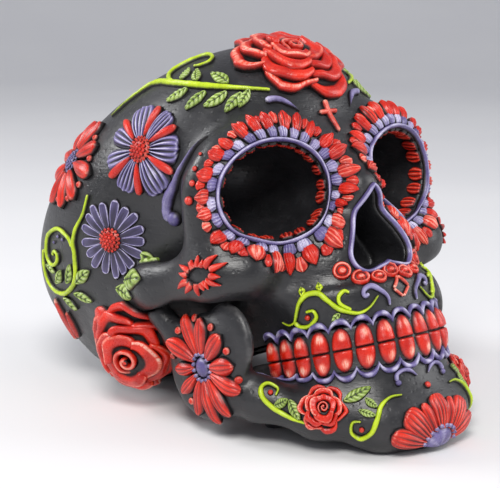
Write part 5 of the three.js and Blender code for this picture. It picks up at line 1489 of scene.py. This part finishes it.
# Whorls of a rose from the outermost in: petals, outer end, where the next whorl lets it show, and
# the heights of its gap, lip and rolled edge, as shares of the rose's radius and height
CROWN_LAYERS = (
    (6, 0.98, 0.78, 0.2, 0.6, 0.4), (5, 0.82, 0.59, 0.38, 0.8, 0.58), (4, 0.62, 0.41, 0.52, 0.95, 0.76),
    (3, 0.44, 0.21, 0.6, 1.03, 0.88),
)
REAR_LAYERS = (
    (5, 1.0, 0.81, 0.16, 0.56, 0.36), (5, 0.85, 0.63, 0.32, 0.76, 0.52), (4, 0.66, 0.45, 0.46, 0.92, 0.7),
    (3, 0.47, 0.23, 0.56, 1.0, 0.84),
)
SMALL_LAYERS = (
    (6, 1.0, 0.75, 0.2, 0.64, 0.42), (5, 0.78, 0.52, 0.4, 0.84, 0.62), (3, 0.55, 0.24, 0.56, 1.0, 0.82),
)
# Loose outer petals behind the rear rose: direction in degrees, length, width
LOOSE_PETALS = ((118, 24, 11), (152, 26, 13), (186, 27, 13), (222, 26, 12))
REAR_ROSE_SPOT = (-54.5, -3, -52)


def add_roses():
    crown = Relief()
    add_rose(crown, chart_at(cranium_form, HEAD, (0.5, 58.5, 37.5), 28), 21.8, 5.4, CROWN_LAYERS, 0.82)
    crown.build("crown_rose", RED, both=False)
    rear = Relief()
    add_rose(rear, chart_at(cranium_form, HEAD, REAR_ROSE_SPOT, 25), 19.6, 5.2, REAR_LAYERS, 1.1)
    chart = chart_at(cranium_form, HEAD, REAR_ROSE_SPOT, 29)
    for k, (turn, reach, width) in enumerate(LOOSE_PETALS):
        add_petal(
            rear, chart, math.radians(turn), 12, reach, width, 2.6, seed=k * 0.9,
            point=0.3, belly=0.55, root=0.6,
        )
    rear.build("rear_rose", RED)
    small = Relief()
    add_rose(small, chart_at(jaw_form, JAW, (-33.5, 70, -87.5), 12), 7.6, 3.0, SMALL_LAYERS, 0.6)
    small.build("jaw_rose", RED)


# Vines and strokes: spots that each line is laid through, in the bone's frame

CROWN_STEM = (
    (-18.4, 66.6, 24.8), (-25.4, 61.7, 27.4), (-30.9, 55.6, 30.2), (-34.9, 47.4, 33.7), (-36.2, 37, 37.8),
    (-34.8, 28, 41), (-34.4, 21, 42.3), (-36.9, 15.9, 41), (-40.8, 9.8, 38.5), (-44.4, 5.1, 35.4),
)
CROWN_LOOP = (
    (-36.2, 37, 37.8), (-33.9, 31.6, 41), (-30.2, 28, 43.9), (-25.7, 28, 46), (-20.6, 31.8, 47.4),
    (-18.4, 37.3, 47.1), (-20.6, 42.5, 44.9), (-24.3, 44.4, 42.8), (-27, 42.3, 42.6), (-27.6, 39, 43),
)
SIDE_STEM = (
    (-59.6, 1.6, 8.4), (-60.8, -3.2, 2.1), (-61.3, -9.2, -1.8), (-61.4, -13, -6.3), (-61.2, -14.2, -10.6),
    (-60.4, -17.6, -16.8), (-59.3, -23, -20.8), (-57.6, -33.2, -22.2), (-56.3, -41.8, -18.8),
    (-56.1, -44.8, -13.6), (-56.6, -43.6, -7.6), (-57.3, -40.4, -3),
)
SIDE_HEART = (
    (-61.4, -13.9, -8.1), (-61.4, -15.6, -3.7), (-60.6, -22.5, 1.1), (-58.8, -32.4, 0.9),
    (-58.4, -36.5, -3.3), (-58.5, -37.1, -7.2), (-59.2, -34, -10.6), (-60.2, -28.8, -10.3),
    (-60.4, -27, -8), (-60.3, -29, -6.2), (-59.9, -31.2, -7.4),
)
JAW_STEM = (
    (-36, 67, -92), (-37.8, 65, -91), (-40, 60, -87.8), (-42.7, 56, -83.7), (-45, 53.8, -79.3),
    (-44.4, 53.4, -75.9), (-41.8, 54.6, -75), (-40.3, 57, -77.3), (-41.6, 56.4, -80),
)
CHIN_STEM = (
    (-11.5, 85.8, -89.6), (-16, 84.5, -89.4), (-20, 83.4, -91.5), (-22.2, 82.4, -95.4), (-23.3, 79.4, -99),
    (-25, 75.5, -100), (-27.4, 74.3, -97.5), (-27.5, 76, -94.6), (-25.7, 78.4, -95),
)
TEMPLE_STROKE = (
    (-43.4, 57.4, 12.8), (-45, 52.6, 11.3), (-48, 46.4, 6), (-48.9, 40.2, 1), (-48.7, 35, -2.1),
    (-48.3, 32, -5.2), (-47.8, 30.6, -8.3), (-47.3, 31, -10.4),
)
FOREHEAD_STROKE = (
    (-22.6, 66.7, 20.8), (-20.1, 67.4, 21.2), (-17.3, 68.6, 20.4), (-15, 69.9, 18.4), (-12.2, 71.5, 15),
)
CROSS_POST = ((0, 71.3, 18.4), (0, 73, 11.5), (0, 74.9, 5.0))
CROSS_BAR = ((-4.3, 71.9, 13.6), (0, 72.6, 13.8), (4.3, 71.9, 13.6))
LIP_SCROLL = (
    (-30.5, 57.4, -55.1), (-30, 60, -56.9), (-29.8, 63, -56.5), (-29.7, 65.3, -53.2), (-29.4, 67.1, -50.7),
    (-27.8, 69.6, -49.4), (-25.6, 73, -50), (-24.4, 75.2, -52.3), (-22.5, 77, -55.7), (-20, 79.2, -58),
    (-17, 81.3, -59.2), (-13.5, 83.1, -57.9), (-9.8, 84.4, -54.6),
)
LIP_SPIRAL = (
    (-29.8, 63, -56.5), (-29.3, 64.7, -58.7), (-28.4, 68, -59.2), (-27.1, 70.8, -57.2), (-27.3, 70.5, -54.6),
    (-28.6, 68, -54.3),
)
LIP_BRANCH = (
    (-19.1, 79.9, -57.6), (-21.6, 77.9, -54.6), (-21.6, 78, -52.1), (-19.8, 79.1, -51.1),
    (-18.5, 80.3, -51.8),
)
LIP_CURL = (
    (-12.8, 83.3, -53.3), (-14.4, 82.7, -54.1), (-14.4, 82.6, -52.2), (-11.6, 83.5, -51.5),
    (-8.7, 84.7, -53.2), (-6.6, 85.2, -55.9), (-6.5, 85.2, -59.2),
)
CHIN_CURL = (
    (-11.2, 84.2, -85), (-10.4, 84.4, -82.6), (-7.6, 84.6, -81.6), (-5, 85, -82.2), (-2.6, 85.7, -84.6),
)

# Leaves: root, tip and width
CROWN_LEAVES = (
    ((-37, 45, 33.2), (-42.5, 38.1, 30.8), 4.6), ((-34.9, 52, 29.9), (-41.9, 46.6, 25.2), 4.6),
    ((-30.6, 57.8, 27.7), (-38.3, 52.2, 24.4), 5.0), ((-27.2, 61.4, 26), (-35, 59, 19.8), 5.0),
    ((-34.8, 39, 38.2), (-29.3, 39.2, 42), 3.6), ((-33.7, 46.6, 35.2), (-29.4, 43.6, 40.4), 4.4),
    ((-28.9, 57.3, 30.8), (-29.4, 49.8, 36.4), 5.4), ((24.6, 62.6, 26.6), (30.5, 61.5, 19.6), 4.2),
)
SIDE_LEAVES = (
    ((-58.1, -35.4, -17.6), (-60.1, -27.7, -13.9), 4.4), ((-59.4, -26.6, -19.4), (-60.8, -19.4, -13.2), 4.4),
    ((-59.4, -20.2, -20.6), (-59.8, -9.4, -18.2), 5.4), ((-58.4, -24.7, -23.5), (-57.7, -15.4, -29.3), 4.4),
    ((-57, -34.7, -23.2), (-55.6, -29.9, -29.7), 3.8), ((-57.9, -39.8, -9.3), (-59, -34, -13.9), 3.4),
    ((-56, 16.6, -17), (-55, 27.5, -21.2), 8.0), ((-58.6, 8.4, -26), (-60.4, 23, -28.4), 9.0),
    ((-58.2, 2.0, -27.6), (-60.6, 12.6, -33.4), 6.5),
)
JAW_LEAVES = (
    ((-42.9, 56.2, -82.6), (-39.2, 60.2, -82.0), 3.8), ((-39.2, 60.6, -82.2), (-38.6, 63.4, -89.4), 4.2),
    ((-28.0, 74.2, -87.0), (-19.4, 80.4, -84.4), 4.8), ((-22.7, 79.6, -87.6), (-20.9, 82.6, -91.8), 3.0),
    ((-25.5, 78.0, -91.0), (-21.8, 82.2, -94.4), 2.8),
)
# Petals of a blossom on the back of the head, of which the photo shows an edge
REAR_PETALS = (
    ((-53.4, -45, -21.5), (-42.6, -52.6, -38.5), 6.6), ((-53, -40.4, -28), (-46.2, -46.4, -38.6), 4.6),
)

# Round drops of paint: spot, radius and height
TEMPLE_DOTS = (
    ((-50.8, 60.2, 6.3), 0.8, 0.88), ((-53.7, 59, 1.7), 1.15, 1.265), ((-55.4, 57.9, -2.9), 1.35, 1.485),
    ((-56.4, 55.3, -8.2), 1.8, 1.98),
)
SIDE_DOTS = (
    ((-60.7, -24, -1.6), 0.8, 1.0), ((-61.2, -20.7, -3.5), 0.8, 1.0), ((-60.1, -28.4, -2.9), 0.8, 1.0),
)
JAW_DOTS = (((-42.6, 55.4, -78.2), 1.1, 1.4), ((-25.6, 77.5, -97.4), 1.1, 1.4))


def add_vines():
    form = cranium_form
    lines = ((CROWN_STEM, 120, 3.1, 2.0, 0.5, 0.3), (CROWN_LOOP, 110, 2.1, 1.7, 1.0, 0.6))
    add_lines("crown_vine", LIME, form, lines)
    leaves = leaves_of(CROWN_LEAVES, 1.7, lambda k: 0.5 * math.sin(k * 2.3), 5)
    add_lines("crown_vine_leaves", LEAF, form, leaves=leaves, own=False)
    lines = ((SIDE_STEM, 170, 2.3, 1.8, 0.55, 0.8), (SIDE_HEART, 130, 2.0, 1.7, 1.0, 0.8))
    add_lines("side_vine", LIME, form, lines)
    leaves = leaves_of(SIDE_LEAVES, 1.7, lambda k: 0.4 * math.sin(k * 2.3), 4)
    add_lines("side_vine_leaves", LEAF, form, leaves=leaves, own=False)
    add_lines("side_vine_dots", LAVENDER, form, beads=SIDE_DOTS, own=False)
    rear = Relief()
    for k, (root, tip, width) in enumerate(REAR_PETALS):
        add_smooth_petal(rear, form, root, tip, width, 2.2, k * 0.7)
    rear.build("rear_petals", RED, own=False)


def add_face_strokes():
    form = cranium_form
    add_lines(
        "temple_stroke", LAVENDER, form, ((TEMPLE_STROKE, 90, 4.7, 2.8, 0.1, 0.8, (0.72, 0.88)),),
        beads=(((-47.2, 32.8, -10.0), 3.0, 3.0),),
    )
    add_lines("temple_dots", RED, form, beads=TEMPLE_DOTS, own=False)
    add_lines("forehead_stroke", LAVENDER, form, ((FOREHEAD_STROKE, 50, 3.0, 2.0, 0.9, 0.12, (0.12, 0.4)),))
    lines = ((CROSS_POST, 40, 2.5, 1.9, 1.0, 0.9), (CROSS_BAR, 40, 2.4, 1.9, 0.9, 0.9))
    add_lines("forehead_cross", RED, form, lines, both=False)


def add_lip_ornaments():
    form = cranium_form
    lines = (
        (LIP_SCROLL, 140, 2.1, 1.7, 0.4, 0.4), (LIP_SPIRAL, 90, 1.8, 1.6, 1.0, 0.7),
        (LIP_BRANCH, 50, 1.7, 1.5, 0.8, 0.7),
    )
    buds = (
        ((-28.4, 68.4, -49.6), (-27.7, 67.7, -46), 2.9, 1.6, 0.0, 0.3, 2),
        ((-24.9, 73.2, -50), (-24, 72.4, -45.8), 2.9, 1.6, 0.0, 0.3, 2),
    )
    add_lines("lip_scroll", LIME, form, lines, leaves=buds)
    leaf = ((-22.2, 77.3, -57.6), (-24.6, 74.8, -60), 2.6, 1.3, 0.0, 0.3, 3)
    add_lines("lip_leaf", LEAF, form, leaves=(leaf,), own=False)
    add_lines("lip_curl", LAVENDER, form, ((LIP_CURL, 70, 2.1, 1.6, 0.8, 0.5),))
    add_lines("lip_scroll_dot", RED, form, beads=(((-28.5, 68.1, -56.4), 1.2, 1.5),), own=False)


def add_jaw_ornaments():
    form = jaw_form
    add_lines("jaw_vine", LIME, form, ((JAW_STEM, 110, 2.1, 1.7, 0.4, 0.5),))
    add_lines("chin_vine", LIME, form, ((CHIN_STEM, 110, 2.1, 1.7, 0.4, 0.5),))
    add_lines("jaw_leaves", LEAF, form, leaves=leaves_of(JAW_LEAVES, 1.6, lambda k: 0.2, 6), own=False)
    add_lines(
        "chin_curl", LAVENDER, form, ((CHIN_CURL, 60, 1.9, 1.6, 1.0, 0.4),),
        beads=(((-10.7, 84, -85.6), 1.3, 1.7),),
    )
    add_lines("chin_dot", RED, form, beads=(((0, 87, -88.5), 1.4, 1.5),), own=False, both=False)
    add_lines("jaw_dots", RED, form, beads=JAW_DOTS, own=False)


# Round the nose

# Middles of the discs of the lace under the nose, in the front view
LACE_SPOTS = (
    (-17.4, -43.6), (-12.6, -47.6), (-6.6, -48.8), (-0.6, -47.2), (5.4, -48.8), (11.4, -47.8), (16.4, -44.0),
)
LACE_RADIUS = 3.3
NOSE_RIM_POINTS = 120
NOSE_RIM_HEIGHT = 2.0
DIAMOND_CORNERS = ((-3.6, 0), (0, 3.6), (3.6, 0), (0, -3.4))
DIAMOND_UP = -53.6


def front_places(x, u):
    """Places and normals of the face at places of the front view."""
    start = np.stack([x, np.full(np.shape(x), 120.0), u], -1)
    heading = np.broadcast_to(np.array([0.0, -1.0, 0.0]), start.shape)
    return settle(cranium_form, march(cranium_form, start, heading, 70), 1)


def add_lace_disc(relief, spot, radius):
    """A round disc with a sunk ring round a knob."""
    chart = chart_at(cranium_form, FACE, spot, radius + 2)
    turns = np.linspace(0, FULL_TURN, 40, endpoint=False)
    share = np.concatenate([np.linspace(0.02, 0.9, 12), 0.9 + 0.1 * np.sin(np.linspace(0.3, math.pi / 2, 5))])
    angle, reach = np.meshgrid(turns, share, indexing="ij")
    base, normal = chart.polar(angle, radius * reach)
    fall = unit((1 - reach) / 0.1) ** 0.5
    h = 1.7 - 0.75 * bump_at(reach, 0.56, 0.13) + 0.7 * unit(1 - (reach / 0.42) ** 2)
    h = h - 0.2 * (0.5 - 0.5 * np.cos(9 * angle)) * unit(reach * 3 - 1.8)
    crest = bump_at(reach, 0.8, 0.12) + bump_at(reach, 0.1, 0.25) - 1.2 * bump_at(reach, 0.56, 0.1)
    relief.sheet(base, normal, seated(h, fall), unit(1.2 * fall), closed=True, crest=0.6 * crest)


def add_nose_rim():
    """The smooth round ring on the edge of the nose opening."""
    outline = nose_outline(NOSE_RIM_POINTS)
    run = np.roll(outline, -1, 0) - np.roll(outline, 1, 0)
    out = np.stack([run[:, 1], -run[:, 0]], 1)
    out /= np.linalg.norm(out, axis=1, keepdims=True)
    probe = outline[10] + out[10]
    if nose_distance(np.array([[probe[0], 70, probe[1]]]))[0] < 0:
        out = -out
    for _ in range(6):
        out = (np.roll(out, 1, 0) + out + np.roll(out, -1, 0)) / 3
    out /= np.linalg.norm(out, axis=1, keepdims=True)
    t = round_shares(13)
    line = outline[:, None] + out[:, None] * (1.0 + 0.95 * t)[None, :, None]
    base, normal = front_places(line[..., 0], line[..., 1])
    h = seated(NOSE_RIM_HEIGHT, np.sqrt(1 - t**2)[None] * np.ones((len(outline), 1)))
    # Pale along the top of the rim: dry-brush and painted highlight
    brushed_and_highlit = 0.7 + 0.3 * np.sin(np.arange(NOSE_RIM_POINTS) * 0.4)
    crest = bump_at(t, 0.0, 0.5)[None] * brushed_and_highlit[:, None]
    rim = Relief()
    rim.sheet(base, normal, h, unit(1.3 * h / NOSE_RIM_HEIGHT), closed=True, crest=crest)
    rim.build("nose_rim", LAVENDER, both=False)


def add_lace_and_diamond():
    lace = Relief()
    for k, (x, u) in enumerate(LACE_SPOTS):
        spot, _ = front_places(np.array([x]), np.array([u]))
        add_lace_disc(lace, spot[0], LACE_RADIUS + 0.2 * math.sin(k * 2.4))
    lace.build("nose_lace", RED, both=False)
    diamond = Relief()
    for k, (a, b) in enumerate(zip(DIAMOND_CORNERS, DIAMOND_CORNERS[1:] + DIAMOND_CORNERS[:1])):
        x = np.linspace(a[0], b[0], 16)
        u = np.linspace(a[1], b[1], 16) + DIAMOND_UP
        path, _ = front_places(x, u)
        add_stroke(diamond, cranium_form, path, 1.4, 1.3, 0.9, 0.9, seed=k)
    diamond.build("lip_diamond", RED, both=False)


# Camera, floor and light, in metres

CAMERA_PLACE = (-0.3715, -0.44158, 0.1756)
CAMERA_AIM = (0, 0.00112, 0.057)
CAMERA_LENS = 110.2
SENSOR_WIDTH = 36
LIGHT_AIM = (0, 0, 0.07)
WORLD_COLOUR = (0.9, 0.92, 1.0, 1)
WORLD_STRENGTH = 0.45
# The floor runs from behind the camera to a bend that rises into the backdrop
FLOOR_HALF_WIDTH = 3.0
FLOOR_BACK = 1.2
BACKDROP_BEND = 0.9
BACKDROP_TOP = 2.2
BEND_STEPS = 12
FLOOR_TURN = math.radians(-40)
FLOOR_DARK = (226, 226, 228)
FLOOR_PALE = (231, 231, 232)


def facing(place, target):
    return (Vector(target) - Vector(place)).to_track_quat("-Z", "Y").to_euler()


def add_camera():
    data = bpy.data.cameras.new("camera")
    data.lens = CAMERA_LENS
    data.sensor_width = SENSOR_WIDTH
    camera = bpy.data.objects.new("camera", data)
    camera.location = CAMERA_PLACE
    camera.rotation_euler = facing(CAMERA_PLACE, CAMERA_AIM)
    bpy.context.scene.collection.objects.link(camera)
    bpy.context.scene.camera = camera


def add_light(name, place, target, size, watts, colour=(1, 1, 1)):
    data = bpy.data.lights.new(name, "AREA")
    data.shape = "DISK"
    data.size = size
    data.energy = watts
    data.color = colour
    light = bpy.data.objects.new(name, data)
    light.location = place
    light.rotation_euler = facing(place, target)
    bpy.context.scene.collection.objects.link(light)


def add_floor():
    profile = [(-FLOOR_HALF_WIDTH, 0.0)]
    for k in range(BEND_STEPS + 1):
        turn = math.pi / 2 * k / BEND_STEPS
        out = FLOOR_BACK + BACKDROP_BEND * math.sin(turn)
        profile.append((out, BACKDROP_BEND * (1 - math.cos(turn))))
    profile.append((FLOOR_BACK + BACKDROP_BEND, BACKDROP_TOP))
    turned_round = Matrix.Rotation(FLOOR_TURN, 3, "Z")
    sides = (-FLOOR_HALF_WIDTH, FLOOR_HALF_WIDTH)
    points = [turned_round @ Vector((x, y, z)) for y, z in profile for x in sides]
    faces = [(2 * i, 2 * i + 1, 2 * i + 3, 2 * i + 2) for i in range(len(profile) - 1)]
    mesh = bpy.data.meshes.new("floor")
    mesh.from_pydata([tuple(v) for v in points], [], faces)
    mesh.polygons.foreach_set("use_smooth", [True] * len(mesh.polygons))
    floor = bpy.data.objects.new("floor", mesh)
    bpy.context.scene.collection.objects.link(floor)
    p = Paint("floor")
    shade = p.mix(p.ramp(p.noise(3, 3), 0.3, 0.7), linear(*FLOOR_DARK), linear(*FLOOR_PALE))
    p.link(shade, p.shader.inputs["Base Color"])
    p.shader.inputs["Roughness"].default_value = 0.75
    mesh.materials.append(p.material)


def add_studio_light():
    world = bpy.data.worlds.new("world")
    bpy.context.scene.world = world
    world.use_nodes = True
    background = world.node_tree.nodes["Background"]
    background.inputs["Color"].default_value = WORLD_COLOUR
    background.inputs["Strength"].default_value = WORLD_STRENGTH
    add_light("key", (-0.55, -0.55, 0.85), LIGHT_AIM, 0.45, 9.0, (1, 0.98, 0.95))
    add_light("fill", (0.75, -0.6, 0.45), LIGHT_AIM, 0.7, 4.5)
    add_light("rim", (-0.5, 0.65, 0.6), (0, 0, 0.08), 0.4, 5.0)


def main():
    bpy.context.scene.view_settings.view_transform = "Standard"
    add_camera()
    add_floor()
    add_studio_light()
    add_bone()
    add_teeth()
    add_socket_rim()
    add_socket_scallops()
    add_socket_petals()
    add_socket_lining()
    add_striped_daisy()
    add_lavender_daisy()
    add_side_flower()
    add_ramus_flower()
    add_chin_flower()
    add_roses()
    add_sunburst()
    add_vines()
    add_face_strokes()
    add_lip_ornaments()
    add_nose_rim()
    add_lace_and_diamond()
    add_jaw_ornaments()


main()
